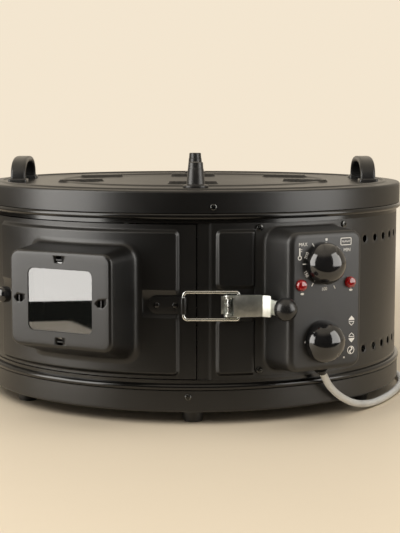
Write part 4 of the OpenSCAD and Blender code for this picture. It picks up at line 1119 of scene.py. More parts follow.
@dataclass
class Studio:
    """Camera, pale table, backdrop colour and soft light; lengths in metres, the lens in millimetres."""

    camera_place: Point = (0.0, -1.4292, 0.2808)
    pitch: float = 6.434
    lens: float = 91.72
    sensor: float = 36.0
    nearest: float = 0.01
    shift: Pair = (0.0131, 0.0056)
    cream: RGB = (0.90, 0.79, 0.63)
    table: RGB = (0.80, 0.69, 0.53)
    shade: RGB = (0.012, 0.011, 0.010)
    fill: RGB = (1.0, 0.95, 0.88)
    fill_strength: float = 0.45
    table_half: float = 6.0
    table_z: float = -0.0003
    fade: Pair = (0.55, 1.5)
    # Painted shade, seen only in gloss, lies past this corner along two lines of these slopes, blurred by
    # this much; the top itself goes on.
    corner: Pair = (-0.693, -0.513)
    shade_line_slopes: Pair = (0.4, 0.13)
    shade_line_blur: float = 0.006
    lamps: tuple[Softbox, ...] = (
        Softbox("softbox_left", (-0.875, -0.42, 0.56), (0.04, -0.02, 0.56), (0.72, 1.1), 15.0, True),
        Softbox("softbox_right", (0.89, -0.51, 0.52), (0.0, -0.085, 0.52), (0.70, 1.0), 9.5, True),
        Softbox("overhead", (0.05, -0.15, 1.7), (0.0, 0.0, 0.1), (1.4, 1.0), 6.5, False),
        Softbox("key", (-0.45, -1.5, 1.35), (0.0, 0.0, 0.05), (1.2, 1.2), 23.0, False),
    )

    def build(self) -> None:
        """Sets the camera, the lamps, the room and the table."""
        self.camera()
        for lamp in self.lamps:
            lamp.hang()
        self.room()
        self.table_top()

    def camera(self) -> None:
        """The camera, pitched down a little, with its image shifted."""
        scene = bpy.context.scene
        scene.view_settings.view_transform = "Standard"
        lens = bpy.data.cameras.new("camera")
        lens.lens, lens.sensor_width, lens.clip_start = self.lens, self.sensor, self.nearest
        lens.shift_x, lens.shift_y = self.shift
        holder = bpy.data.objects.new("camera", lens)
        holder.location = self.camera_place
        holder.rotation_euler = (math.radians(90.0 - self.pitch), 0.0, 0.0)
        scene.collection.objects.link(holder)
        scene.camera = holder

    def room(self) -> None:
        """The room: cream to the camera, and a plain fill for matt surfaces.

        In gloss it is dark before the oven and cream behind it, dimmer straight behind and far aside, with a
        soft ceiling.
        """
        world = bpy.data.worlds.new("room")
        bpy.context.scene.world = world
        world.use_nodes = True
        recipe = Recipe(world.node_tree)
        across, depth, up = recipe.axes(recipe.node("ShaderNodeTexCoord", out="Generated"))
        aside = across.largest(across * -1.0)
        level = 0.5 + recipe.ramp(aside, 0.02, 0.13) * 1.3 - recipe.ramp(aside, 0.2, 0.5) * 1.2
        back = recipe.ramp(depth, -0.32, 0.02) * level
        ceiling = recipe.ramp(up, 0.5, 0.9) * 0.8
        mirrored = recipe.blend(back.largest(ceiling), self.shade, self.cream)
        fill, wall, gloss = (
            recipe.node("ShaderNodeBackground", {}, {"Color": colour, "Strength": strength})
            for colour, strength in (
                ((*self.fill, 1.0), self.fill_strength),
                ((*self.cream, 1.0), 1.0),
                (mirrored, 1.0),
            )
        )
        lit = recipe.between(recipe.rays("Glossy"), fill, gloss)
        recipe.end(recipe.between(recipe.rays("Camera", "Transmission"), lit, wall), "ShaderNodeOutputWorld")

    def table_top(self) -> None:
        """A wide table top that fades into the backdrop's colour; in gloss it shows painted shade past a
        drawn corner, in place of its edges.
        """
        half, low = self.table_half, self.table_z
        mesh = bpy.data.meshes.new("table")
        corners = [(-half, -half, low), (half, -half, low), (half, half, low), (-half, half, low)]
        mesh.from_pydata(corners, [], [(0, 1, 2, 3)])
        table = bpy.data.objects.new("table", mesh)
        bpy.context.scene.collection.objects.link(table)
        material = bpy.data.materials.new("table_top")
        material.use_nodes = True
        self.table_finish(Recipe(material.node_tree))
        mesh.materials.append(material)

    def table_finish(self, recipe: Recipe) -> None:
        """A satin top with a faint grain; past a drawn corner to its left and front, gloss sees painted shade
        in place of the table's edges.

        Args:
            recipe: Where the nodes go.
        """
        place = recipe.place()
        x, y, _ = recipe.axes(place)
        grain = recipe.noise(place, 9.0, 5.0)
        top = recipe.principled(
            {
                "Base Color": recipe.blend(grain, self.table, tuple(0.96 * c for c in self.table)),
                "Roughness": 0.5 + (grain - 0.5) * 0.08,
                "Specular IOR Level": 0.25,
            }
        )
        # Two emissions: the backdrop's cream, and the painted shade that gloss sees past the drawn corner.
        wall, dark = (
            recipe.node("ShaderNodeEmission", {}, {"Color": (*colour, 1.0), "Strength": 1.0})
            for colour in (self.cream, self.shade)
        )
        away = recipe.node("ShaderNodeVectorMath", {"operation": "LENGTH"}, {0: place}, out="Value")
        aside, ahead = x - self.corner[0], y - self.corner[1]
        left = recipe.ramp(aside + ahead * self.shade_line_slopes[0], -self.shade_line_blur, self.shade_line_blur)
        front = recipe.ramp(ahead - aside * self.shade_line_slopes[1], -self.shade_line_blur, self.shade_line_blur)
        faded = recipe.ramp(away, *self.fade) * recipe.rays("Camera", "Transmission")
        # Painted shade: glossy rays past the drawn corner see the dark emission instead of the lit top.
        gloss_painted_shade = recipe.rays("Glossy") * (1.0 - left * front)
        recipe.end(recipe.between(gloss_painted_shade, recipe.between(faded, top, wall), dark))


@dataclass
class PowerCord:
    """The mains lead: gland, cord along the table, tied coil behind the oven, and the plug."""

    diameter: float = 6.8
    lead: tuple[Point, ...] = (
        (117.8, -200.6, 52.5), (119.4, -197.6, 46.8), (123, -190.9, 38.8), (127, -184.6, 31.6),
        (133.6, -178.4, 23.8), (141.8, -169.6, 16.6), (151.6, -159.1, 10.4), (163, -146.1, 6.2),
        (175, -129.2, 4.0), (188, -107, 3.5), (200.5, -80.5, 3.5), (210, -55, 3.5), (216.5, -32, 3.5),
        (220.5, -9, 3.5), (221.5, 13, 3.5), (218.5, 37, 3.5), (212.5, 61, 3.5), (204, 84, 3.5),
        (194.5, 107, 3.5), (185.5, 130, 3.5), (178, 153, 3.5), (172, 176, 3.5), (168, 199, 3.8),
        (166.4, 213, 4.4), (166, 223, 4.6), (166, 232, 4.6),
    )
    tail: tuple[Point, ...] = (
        (112, 286, 12.2), (104, 286, 12.2), (95, 285.6, 13.2), (85, 284.9, 15.4), (76, 284.3, 17.8),
        (67, 284, 19), (58, 284, 19),
    )
    least_step: float = 0.2
    coil_centre: Pair = (120.0, 240.0)
    coil_r: float = 46.0
    turns: float = 4.25
    turn_steps: int = 48
    pitch: float = 7.6
    coil_low: float = 4.6
    climb: float = 0.5
    tie_turn: float = 0.625
    tie_gap: float = 5.0
    tie_drop: float = 4.4
    tie_corner: float = 4.2
    tie_thick: float = 0.9
    tie_width: float = 10.0
    gland_tip: Point = (119.6, -197.2, 46.2)
    gland_lean: Point = (-1.8, -3.0, 6.0)
    plug_l: float = 60.0
    plug_r: float = 18.5
    pin_d: float = 4.8
    pin_l: float = 19.0
    pin_apart: float = 19.0
    pin_sunk: float = 0.5

    def coil_radius(self, t: Array) -> Array:
        """The coil's radius at turn t: it falls by the pitch each turn to the middle, then grows again."""
        middle = self.turns / 2
        return self.coil_r - self.pitch * (middle - np.abs(t - middle))

    def coil(self) -> Array:
        """Points of the coil: a spiral inwards, then outwards one layer up; it climbs at its middle turn.

        Returns:
            Its points.
        """
        t = np.linspace(0.0, self.turns, int(self.turns * self.turn_steps) + 1)
        r = self.coil_radius(t)
        z = self.coil_low + self.pitch * ease((t - self.turns / 2) / self.climb + 0.5)
        turn = 2 * math.pi * t
        x, y = self.coil_centre[0] + r * np.cos(turn), self.coil_centre[1] + r * np.sin(turn)
        return zipped(x, y, z)

    def path(self) -> Array:
        """The cord's centreline from gland to plug, without steps too short to carry a section.

        Returns:
            Its points.
        """
        raw = np.concatenate([smooth_path(self.lead, 4), self.coil(), smooth_path(self.tail, 4)])
        step = np.linalg.norm(np.diff(raw, axis=0), axis=1)
        return raw[np.concatenate([[True], step > self.least_step])]

    def build(self) -> None:
        """Makes the cord first, then what is on it."""
        path = self.path()
        run = run_along(path)
        cord = publish(
            "cord",
            carried(path, circle(self.diameter / 2, 14), UP),
            Finishes.CORD,
            Body.HOUSING,
            ("cord_lead", "cord_coil", "cord_tail"),
        )
        self.map_run(cord, path, run)
        plug = publish("plug", self.plug_shell(), Finishes.PLUG, Body.HOUSING, ("plug_body",))
        pair = self.pin_shell()
        pins = publish("plug_contacts", pair, Finishes.BRASS, Body.HOUSING, ("plug_pins",))
        band = self.tie_shell()
        tie = publish("tie_band", band, Finishes.TIE, Body.HOUSING, ("coil_tie",))
        gland = self.gland_shell()
        publish("gland", gland, Finishes.PLASTIC, Body.HOUSING, ("cord_gland",))

    def map_run(self, cord: bpy.types.Object, path: Array, run: Array) -> None:
        """Gives the cord a map: along it in tenths of a metre, and its height about its centreline.

        Args:
            cord: The cord's piece.
            path: Its centreline.
            run: The distance along it at each point of the centreline.
        """
        mesh = cord.data
        layer = mesh.uv_layers.new(name="run")
        co = np.zeros(len(mesh.vertices) * 3)
        mesh.vertices.foreach_get("co", co)
        co = co.reshape(-1, 3) / MM
        spots, reach = path[::3], run[::3]
        nearest = np.argmin(np.stack([np.sum((co - p) ** 2, axis=1) for p in spots], axis=1), axis=1)
        height = co[:, 2] - spots[nearest][:, 2]
        uv = zipped(reach[nearest] * MM * 10.0, height / self.diameter)
        corner = np.zeros(len(mesh.loops), dtype=np.int32)
        mesh.loops.foreach_get("vertex_index", corner)
        layer.data.foreach_set("uv", uv[corner].ravel())

    def gland_shell(self) -> Shell:
        """The bend guard: a short ribbed sleeve under the box, and its stem through the box's underside.

        Returns:
            The shell.
        """
        axis = np.array(self.gland_lean) / np.linalg.norm(self.gland_lean)
        side = np.cross(axis, [0.0, 1.0, 0.0])
        side = side / np.linalg.norm(side)
        stem = [(4.9, 4.2), (7.0, 4.2), (7.0, 6.4), (5.2, 6.4), (5.2, 14.0), (0.0, 14.0)]
        sleeve = ribbed(4.0, 4.3, 0.125, 2.0, 0.35, 16)
        profile = np.concatenate([[[0.0, 0.0]], sleeve, filleted(stem, [0, 0.8, 0.8, 0, 0, 0], 4)])
        return spun(profile, 32).placed(self.gland_tip, side, np.cross(axis, side), axis)

    def plug_shell(self) -> Shell:
        """A round moulded plug: ribbed bend guard, waist, flat front; it points away from the coil.

        Returns:
            The shell.
        """
        front, r = self.plug_l, self.plug_r
        waist = [(7.0, 18.0), (9.0, 21.0), (12.5, 36.0), (r - 0.2, 44.0), (r, front), (0.0, front)]
        guard = ribbed(17.0, 4.6, 0.12, 3.4, 0.6, 40)
        profile = np.concatenate([[[0.0, 0.0]], guard, filleted(waist, [0, 3, 10, 6, 1.2, 0], 6)])
        return spun(profile, 48).placed(self.tail[-1], *LEFTWARD)

    def pin_shell(self) -> Shell:
        """Two round contact pins with rounded ends, sunk a little into the plug's front.

        Returns:
            The shell.
        """
        r = self.pin_d / 2
        line = filleted([(0.0, 0.0), (r, 0.0), (r, self.pin_l), (0.0, self.pin_l)], [0, 0, 2.0, 0], 6)
        pin = spun(line, 24)
        x, y, z = self.tail[-1]
        root = x - self.plug_l + self.pin_sunk
        return joined([pin.placed((root, y + side * self.pin_apart / 2, z), *LEFTWARD) for side in (-1, 1)])

    def tie_shell(self) -> Shell:
        """A flat band round the bundle where it crosses the tie's turn.

        Returns:
            The shell.
        """
        angle = 2 * math.pi * self.tie_turn
        out = np.array([math.cos(angle), math.sin(angle), 0.0])
        along = np.array([-math.sin(angle), math.cos(angle), 0.0])
        r = self.coil_radius(self.tie_turn + np.arange(4))
        ring = round_rect(
            (float(r.min()) - self.tie_gap, float(r.max()) + self.tie_gap),
            (self.coil_low - self.tie_drop, self.coil_low + self.pitch + self.tie_gap),
            self.tie_corner,
            6,
            6,
        )
        path = np.array([*self.coil_centre, 0.0]) + ring[:, :1] * out + ring[:, 1:] * UP
        half = self.tie_thick / 2, self.tie_width / 2
        band = round_rect((-half[0], half[0]), (-half[1], half[1]), 0.3, 4, 2)
        return carried(path, band, along, closed=True)


@dataclass
class Covers:
    """Lid, pan, rolled rims, their screws, and the feet, handles and pegs on them."""

    radius: float = 215.0
    pan_low: float = 12.5
    lid_low: float = 194.5
    skirt: float = 20.0
    edge: float = 2.6
    sheet: float = 1.0
    crown_r: float = 206.5
    lid_segments: int = 512
    rings: tuple[Pair, ...] = ((104.0, 0.3), (137.0, 1.4), (199.0, 1.5))
    ring_half: float = 3.6
    ring_slope: float = 2.2
    bars: tuple[Point, ...] = (
        (0.0, -86.0, 0.0), (0.0, 86.0, 0.0), (114.0, -42.0, -30.0), (-114.0, -42.0, 30.0),
        (100.0, 62.0, -24.0), (-100.0, 62.0, 24.0),
    )
    bar_size: Pair = (50.0, 10.0)
    bar_corner: float = 4.0
    bar_rise: float = 2.8
    bar_slope: float = 2.0
    rims: tuple[tuple[str, str, Point], ...] = (
        ("bead_low", "lower_rim", (20.5, 35.5, 42.0)),
        ("bead_top", "upper_rim", (185.0, 191.5, 206.5)),
    )
    bead_r: float = 3.0
    bead_circle: float = 213.2
    screw_rows: tuple[Pair, ...] = ((4.9, 200.0), (-1.2, 27.0))
    foot_circle: float = 190.0
    foot_count: int = 6
    handle_circle: float = 178.0
    handle_half: float = 45.0
    handle_rise: float = 21.0
    handle_power: float = 2.7
    handle_band: Pair = (3.0, 7.5)
    handle_pad: tuple[Point, ...] = ((9.5, 0.0, 2.5), (9.5, 2.4, 2.5), (9.1, 3.1, 2.2), (8.2, 3.5, 2.0))
    peg_circle: float = 160.0
    peg_az: Pair = (0.9, 179.1)

    def build(self) -> None:
        """Makes the covers and what stands on them."""
        publish("lid", self.lid_shell(), Finishes.BLACK, Body.HOUSING, ("top_cover",))
        pan = self.pan_shell()
        publish("pan", pan, Finishes.BLACK, Body.HOUSING, ("bottom_cover",), self.sheet)
        for name, node, levels in self.rims:
            publish(name, self.rim_shell(*levels), Finishes.GLOSS, Body.HOUSING, (node,))
        screws = self.screw_shell()
        publish("cover_screw_heads", screws, Finishes.SCREW, Body.HOUSING, ("cover_screws",))
        publish("rubber_feet", self.feet_shell(), Finishes.PLASTIC, Body.HOUSING, ("feet",))
        for name, az in (("left_handle", -90.0), ("right_handle", 90.0)):
            arch = self.handle_shell(az)
            publish(f"{name}_arch", arch, Finishes.PLASTIC, Body.HOUSING, (name,))
        publish("pegs", self.peg_shell(), Finishes.PLASTIC, Body.HOUSING, ("top_pegs",))

    @property
    def lid_top(self) -> float:
        """Height of the lid's flat top."""
        return self.lid_low + self.skirt

    def lid_shell(self) -> Shell:
        """The lid, as one skin from the middle of its underside to the middle of its top.

        Underside, skirt and shoulder are a turned profile. The top is a polar grid whose height is the top
        plane plus the higher of a smooth ridge over each ring and a smooth pressing inside each bar.

        Returns:
            The shell.
        """
        top = self.lid_top
        bore, under = self.radius - self.sheet, top - self.sheet
        inner = [(0.0, under), (bore, under), (bore, self.lid_low)]
        outer = [(self.radius, self.lid_low), (self.radius, top), (self.crown_r, top)]
        shoulder = np.concatenate(
            [filleted(inner, [0, self.edge - self.sheet, 0], 8), filleted(outer, [0, self.edge, 0], 10)]
        )
        r = lines([self.crown_r, 196.0, 150.0, 70.0, 10.0, 0.0], [14, 6, 84, 6, 2])[1:]
        az = np.linspace(0.0, 360.0, self.lid_segments, endpoint=False)
        radius = np.concatenate([shoulder[:, 0], r])[:, None]
        height = np.concatenate([shoulder[:, 1], np.full(len(r), top)])[:, None]
        ridge = sum(
            rise * ease((self.ring_half - np.abs(radius - centre)) / self.ring_slope)
            for centre, rise in self.rings
        )
        relief = np.maximum(ridge, self.bar_relief(polar(az[None, :], radius, 0.0)))
        return skin(polar(az[None, :], radius, height + relief * (height >= top)))

    def bar_relief(self, spots: Array) -> Array:
        """Height of the lid's short bars: the largest pressing over a spot, each bar at its own angle.

        Args:
            spots: Points of the lid's grid.

        Returns:
            The heights.
        """
        bars = np.zeros(spots.shape[:-1])
        half = self.bar_size[0] / 2, self.bar_size[1] / 2
        for x, y, lean in self.bars:
            turn = math.radians(lean)
            across, ahead = spots[..., 0] - x, spots[..., 1] - y
            along = across * math.cos(turn) + ahead * math.sin(turn)
            beside = ahead * math.cos(turn) - across * math.sin(turn)
            gap = rect_distance(along, beside, half, self.bar_corner)
            bars = np.maximum(bars, pressed_out(gap, self.bar_rise, self.bar_slope))
        return bars

    def pan_shell(self) -> Shell:
        """The pan's outer face: bottom from its middle outwards, round edge, skirt upwards.

        Returns:
            The shell.
        """
        low, rim = self.pan_low, self.radius
        corners = [(0.0, low), (60.0, low), (140.0, low), (rim, low), (rim, low + self.skirt)]
        return turned(filleted(corners, [0, 0, 0, self.edge, 0], 10), 320)

    def rim_shell(self, low: float, middle: float, top: float) -> Shell:
        """A rim: a thin upright strip with a rolled bead standing out of it.

        Args:
            low: The strip's lower edge.
            middle: The bead's middle height.
            top: The strip's upper edge.

        Returns:
            A closed ring.
        """
        start = math.asin(math.sqrt(1 - ((WALL_R - self.bead_circle) / self.bead_r) ** 2))
        phi = np.linspace(-(math.pi - start), math.pi - start, 24)
        r, z = self.bead_circle + self.bead_r * np.cos(phi), middle + self.bead_r * np.sin(phi)
        strip = [[WALL_R - self.sheet, top], [WALL_R - self.sheet, low], [WALL_R, low]]
        profile = np.concatenate([strip, zipped(r, z), [[WALL_R, top]]])
        return turned(profile, 360, ring=True)

    def screw_shell(self) -> Shell:
        """Eight cross-head screws, four through each skirt.

        Returns:
            The shell.
        """
        head = cross_head(3.0, 1.9)
        spots = [(az + 90.0 * k, z) for az, z in self.screw_rows for k in range(4)]
        return joined([head.placed(polar(az, self.radius, z), *facing(az)) for az, z in spots])

    def feet_shell(self) -> Shell:
        """Tapered feet on a circle, from the table to the pan.

        Returns:
            The shell.
        """
        line = filleted([(0, 0), (9, 0), (11, self.pan_low), (0, self.pan_low)], [0, 1.2, 0.4, 0], 6)
        foot = spun(line, 36)
        turns = np.arange(self.foot_count) * 360.0 / self.foot_count
        return joined([foot.placed(polar(az, self.foot_circle, 0.0), *UPRIGHT) for az in turns])

    def handle_shell(self, az: float) -> Shell:
        """An arch handle: a rounded band along a superellipse |x/a|^n + |z/b|^n = 1, on two square feet.

        Args:
            az: Where it stands, by azimuth.

        Returns:
            The shell.
        """
        tangent, _, out = facing(az)
        origin = polar(az, self.handle_circle, self.lid_top)
        phi = np.linspace(math.pi, 0.0, 61)
        power = 2.0 / self.handle_power
        x = self.handle_half * np.sign(np.cos(phi)) * np.abs(np.cos(phi)) ** power
        z = 1.0 + self.handle_rise * np.abs(np.sin(phi)) ** power
        path = origin + x[:, None] * tangent + z[:, None] * UP
        half_thick, half_wide = self.handle_band
        section = round_rect((-half_thick, half_thick), (-half_wide, half_wide), 2.4, 4, 5)
        band = carried(path, section, out)
        pads = []
        for side in (-self.handle_half, self.handle_half):
            rings = []
            for half, h, corner in self.handle_pad:
                ring = round_rect((-half, half), (-half, half), corner, 4, 5)[::-1]
                rings.append(origin + tangent * side + ring[:, :1] * tangent - ring[:, 1:] * out + h * UP)
            pads.append(loft(rings))
        return joined([band, *pads])

    def peg_shell(self) -> Shell:
        """Two tapered pegs with a flanged foot, each with a small step near its top.

        Returns:
            The shell.
        """
        line = filleted(
            [(0, 0), (12, 0), (12, 2.6), (8.8, 3.2), (7.4, 17.6), (7.1, 18.2), (6.7, 24.0), (0, 24.0)],
            [0, 0.3, 1.0, 0.8, 0.3, 0.3, 0.8, 0],
            6,
        )
        spots = [polar(az, self.peg_circle, self.lid_top) for az in self.peg_az]
        return joined([spun(line, 44).placed(spot, *UPRIGHT) for spot in spots])


@dataclass
class Drum:
    """The fixed half of the wall, its pressed panels and air holes, and the hinges' wall side."""

    low: float = 42.0
    top: float = 185.0
    az: Pair = (1.02, 188.23)
    sheet: float = 1.0
    vent_rows: Pair = (58.0, 164.5)
    vent_first: float = 51.0
    vent_count: int = 12
    vent_gap: float = 20.0
    vent_r: float = 3.5
    vent_sink: float = 0.3
    cell_half: float = 8.0
    cell_steps: int = 8
    panels: tuple[Panel, ...] = (Panel((5.4, 19.0), (45.0, 99.0)), Panel((5.4, 19.0), (125.0, 180.0)))
    flange_az: float = 15.25
    strip_az: float = 4.8
    strip_sink: float = 1.3

    def build(self, frame: dict[str, Any]) -> None:
        """Makes the wall and softens the hinge leaves."""
        wall = self.wall_shell()
        publish("fixed_wall", wall, Finishes.BLACK, Body.HOUSING, ("drum_wall",), self.sheet)
        softened(frame, "hinge_wall_leaves", Finishes.BLACK, Body.HOUSING, 0.4)

    def wall_shell(self) -> Shell:
        """The wall's outer face on an azimuth and height grid, whose lines crowd over the panels' slopes.

        It is lifted over the panels up to the box's flange, and a strip beside the door's edge lies a little
        deeper. Each hole's square cell is left out, and a ring of faces fills it from square to circle.

        Returns:
            The shell.
        """
        half = self.cell_half
        step = math.degrees(self.vent_gap / WALL_R)
        first = self.vent_first - step / 2
        last = first + step * self.vent_count
        row_a, row_b = self.vent_rows
        az = lines(
            [self.az[0], 3.2, 5.0, 5.3, 7.2, 14.9, 15.3, first, last, self.az[1]],
            [2, 14, 2, 16, 12, 4, 26, self.cell_steps * self.vent_count, 40],
        )
        lower = [self.low, 44.5, row_a - half, row_a + half, 93.0, 99.5]
        upper = [124.5, 131.0, row_b - half, row_b + half, 173.0, 180.5, self.top]
        z = lines(lower + upper, [1, 14, self.cell_steps, 6, 18, 5, 18, 6, self.cell_steps, 1, 18, 2])
        grid_az, grid_z = np.meshgrid(az, z)
        gap = np.min([panel.distance(grid_az, grid_z) for panel in self.panels], axis=0)
        rise = pressed_out(gap) * ease((self.flange_az - grid_az) / 0.3)
        strip = self.strip_sink * ease((self.strip_az - grid_az) / 1.2)
        points = polar(grid_az, WALL_R + rise - strip, grid_z)
        mid_az, mid_z = (az[:-1] + az[1:]) / 2, (z[:-1] + z[1:]) / 2
        in_row = np.any(np.abs(mid_z[:, None] - np.array(self.vent_rows)) < half, axis=1)
        in_vent = (mid_az > first) & (mid_az < last)
        keep = ~(in_row[:, None] & in_vent[None, :])
        sheet = Shell(points.reshape(-1, 3), [grid_faces(len(z), len(az))[keep.ravel()]])
        spots = [(first + step * (k + 0.5), row) for k in range(self.vent_count) for row in self.vent_rows]
        return joined([sheet, *(self.vent_ring(spot_az, row, step / 2, half) for spot_az, row in spots)])

    def vent_ring(self, az: float, z: float, half_az: float, half_z: float) -> Shell:
        """Faces between one square cell and its round hole, turned in a little at the hole.

        Args:
            az: The hole's azimuth.
            z: The hole's height.
            half_az: Half the cell's width, as an angle.
            half_z: Half the cell's height.

        Returns:
            The shell.
        """
        side = np.linspace(-1.0, 1.0, self.cell_steps, endpoint=False)
        one = np.ones(self.cell_steps)
        sides = ((side, -one), (one, side), (-side, one), (-one, -side))
        square = np.concatenate([zipped(*pair) for pair in sides])
        angle = np.arctan2(square[:, 1], square[:, 0])
        cell = zipped(square[:, 0] * half_az, square[:, 1] * half_z)
        loop = zipped(np.degrees(np.cos(angle) / WALL_R), np.sin(angle))
        halfway = 0.5 * cell + 0.5 * loop * (self.vent_r + 1.2)
        spots = np.stack([cell, halfway, loop * (self.vent_r + 0.6), loop * self.vent_r])
        sink = np.array([0.0, 0.0, 0.0, -self.vent_sink])[:, None]
        return skin(polar(az + spots[..., 0], WALL_R + sink, z + spots[..., 1]))


@dataclass(frozen=True)
class PressedBox:
    """A box pressed out of sheet: flat face, round edges, sides that spread towards the drum.

    Its spread is how much wider, lower and higher it is at the drum than at its face.
    """

    az: float
    rho: float
    half: float
    low: float
    top: float
    spread: Point
    edge: float
    corner: float
    base_r: float
    foot: float = 3.0
    corner_spread: float = 4.0

    def ring(self, share: float, out: float, sink: float = 0.0) -> Array:
        """The box's outline at one level.

        Args:
            share: 0 at the drum and 1 at the face.
            out: How far the outline is pushed out.
            sink: How far it is pushed towards the drum.

        Returns:
            The outline's points.
        """
        side, low, top = self.spread
        rest = 1.0 - share
        outline = round_rect(
            (-self.half - side * rest - out, self.half + side * rest + out),
            (self.low - low * rest - out, self.top + top * rest + out),
            max(self.corner + self.corner_spread * rest + out, 1.0),
        )
        base = np.sqrt(self.base_r**2 - outline[:, 0] ** 2)
        rho = base + share * (self.rho - base) - sink
        return on_face(self.az, outline[:, 0], rho, outline[:, 1])

    def rings(self) -> list[Array]:
        """Outlines from the drum over a hollow foot, up the side and over the round edge onto the face.

        Returns:
            The outlines, in that order.
        """
        depth = self.rho - self.base_r * math.cos(math.asin(self.half / self.base_r))
        arcs = [np.radians(np.linspace(0.0, 90.0, count)) for count in (7, 9)]
        foot = [(self.foot * (1 - math.cos(p)) / depth, self.foot * (1 - math.sin(p))) for p in arcs[0]]
        side = [(s, 0.0) for s in np.linspace(self.foot / depth, 1 - self.edge / depth, 7)[1:-1]]
        round_off = self.edge / depth
        edge = [(1 - round_off * (1 - math.sin(p)), -self.edge * (1 - math.cos(p))) for p in arcs[1]]
        return [self.ring(share, out) for share, out in foot + side + edge]


@dataclass
class Door:
    """The hinged half of the wall with its window, knob and hinge leaves."""

    low: float = 43.0
    top: float = 184.0
    az: Pair = (-171.5, 0.75)
    sheet: float = 1.0
    hole_az: Pair = (-40.7, -17.3)
    hole_z: Pair = (77.5, 153.5)
    window_panel: Panel = Panel((-61.5, -3.2), (45.0, 180.0))
    back_panels: tuple[Panel, ...] = (
        Panel((-112.0, -67.5), (45.0, 180.0)),
        Panel((-166.0, -118.0), (45.0, 180.0)),
    )
    channels: tuple[Panel, ...] = (
        Panel((-13.1, 20.0), (99.0, 125.0), 4.0),
        Panel((-78.0, -44.9), (99.0, 125.0), 4.0),
    )
    box: PressedBox = PressedBox(
        az=-29.2, rho=247.0, half=55.0, low=72.5, top=159.5, spread=(2.2, 12.0, 5.0), edge=3.0, corner=9.0,
        base_r=PANEL_R, foot=5.0,
    )
    box_sheet: float = 0.9
    glass_z: float = 115.5
    opening: Pair = (35.0, 28.8)
    opening_corner: float = 6.0
    lip: float = 0.4
    lip_depths: Pair = (0.5, 1.2)
    slot_spots: tuple[Pair, ...] = ((0.0, 37.2), (0.0, -37.2), (-44.5, 0.0), (44.5, 0.0))
    slot_size: Pair = (6.4, 6.8)
    slot_corner: float = 1.2
    slot_reach: float = 4.0
    knob_az: float = -53.0
    knob_z: float = 111.0

    def build(self, frame: dict[str, Any]) -> None:
        """Makes the door's skin, window frame and knob, and softens its hinge leaves."""
        face = self.skin_shell()
        publish("door_skin", face, Finishes.BLACK, Body.DOOR, ("door_panel",), self.sheet)
        window = publish(
            "window_frame", self.window_shell(), Finishes.BLACK, Body.DOOR, ("window_box",),
            self.box_sheet,
        )
        self.cut_slots(window)
        dish = [(0, -0.3), (9.25, -0.3), (9.25, 1.2), (6.0, 4.0), (0, 4.0)]
        collar = filleted(dish, [0, 0, 1.0, 0.8, 0], 5)
        swell = [(0, 3.6), (4.5, 3.6), (4.5, 8.0), (7.7, 11.0), (7.7, 22.0), (0, 22.0)]
        grip = filleted(swell, [0, 0, 2.0, 3.5, 6.0, 0], 8)
        for name, line, finish, node, slot in (
            ("knob_collar", collar, Finishes.CHROME, "door_knob_collar", "chrome_trim"),
            ("knob_grip", grip, Finishes.KNOB, "door_knob", "gloss_black"),
        ):
            shell = spun(line, 44).placed(polar(self.knob_az, WALL_R, self.knob_z), *facing(self.knob_az))
            publish(name, shell, finish, Body.DOOR, (node,))
        softened(frame, "hinge_door_leaves", Finishes.BLACK, Body.DOOR, 0.4)

    def skin_shell(self) -> Shell:
        """The door's outer face on an azimuth and height grid, whose lines crowd over the panels' slopes.

        It is lifted over its panels except in the two latch channels, and open behind the glass.

        Returns:
            The shell.
        """
        (hole_left, hole_right), (hole_low, hole_top) = self.hole_az, self.hole_z
        behind = [self.az[0], -168.2, -163.4, -120.6, -109.4, -70.1, -58.9, -46.9, -42.9]
        az = lines(
            [*behind, hole_left, hole_right, -15.1, -11.1, -6.0, -2.9, self.az[1]],
            [3, 16, 16, 36, 16, 36, 12, 14, 3, 12, 3, 14, 6, 22, 4],
        )
        lower = [self.low, 44.5, 50.5, 57.0, hole_low, 93.0, 99.5]
        upper = [124.5, 131.0, hole_top, 167.0, 174.0, 180.5, self.top]
        z = lines(lower + upper, [1, 14, 5, 4, 5, 18, 5, 18, 5, 4, 5, 16, 2])
        grid_az, grid_z = np.meshgrid(az, z)
        front = self.window_panel.distance(grid_az, grid_z)
        for channel in self.channels:
            front = np.maximum(front, -channel.distance(grid_az, grid_z) - PRESS_SLOPE)
        gaps = [front, *(panel.distance(grid_az, grid_z) for panel in self.back_panels)]
        points = polar(grid_az, WALL_R + pressed_out(np.min(gaps, axis=0)), grid_z)
        mid_az, mid_z = (az[:-1] + az[1:]) / 2, (z[:-1] + z[1:]) / 2
        open_az = (mid_az > hole_left) & (mid_az < hole_right)
        open_z = (mid_z > hole_low) & (mid_z < hole_top)
        keep = ~(open_z[:, None] & open_az[None, :])
        return Shell(points.reshape(-1, 3), [grid_faces(len(z), len(az))[keep.ravel()]])

    def opening_ring(self, inset: float, depth: float) -> Array:
        """The window's rounded opening.

        Args:
            inset: How far it is drawn in.
            depth: How far it is set back from the box's face.

        Returns:
            Its outline.
        """
        x, z = self.opening[0] - inset, self.opening[1] - inset
        corner = self.opening_corner - inset
        outline = round_rect((-x, x), (self.glass_z - z, self.glass_z + z), corner)
        return on_face(self.box.az, outline[:, 0], self.box.rho - depth, outline[:, 1])

    def window_shell(self) -> Shell:
        """The window's frame: the pressed box's outlines, its face, and a lip turned in at the opening.

        Returns:
            The shell.
        """
        opening = self.opening_ring(0.0, 0.0)
        rings = [self.box.ring(0.0, 4.0, 0.6), *self.box.rings()]
        face = [rings[-1] + (opening - rings[-1]) * share for share in (0.3, 0.6, 0.9)]
        lip = [self.opening_ring(self.lip, depth) for depth in self.lip_depths]
        return loft([*rings, *face, opening, *lip], False, False)

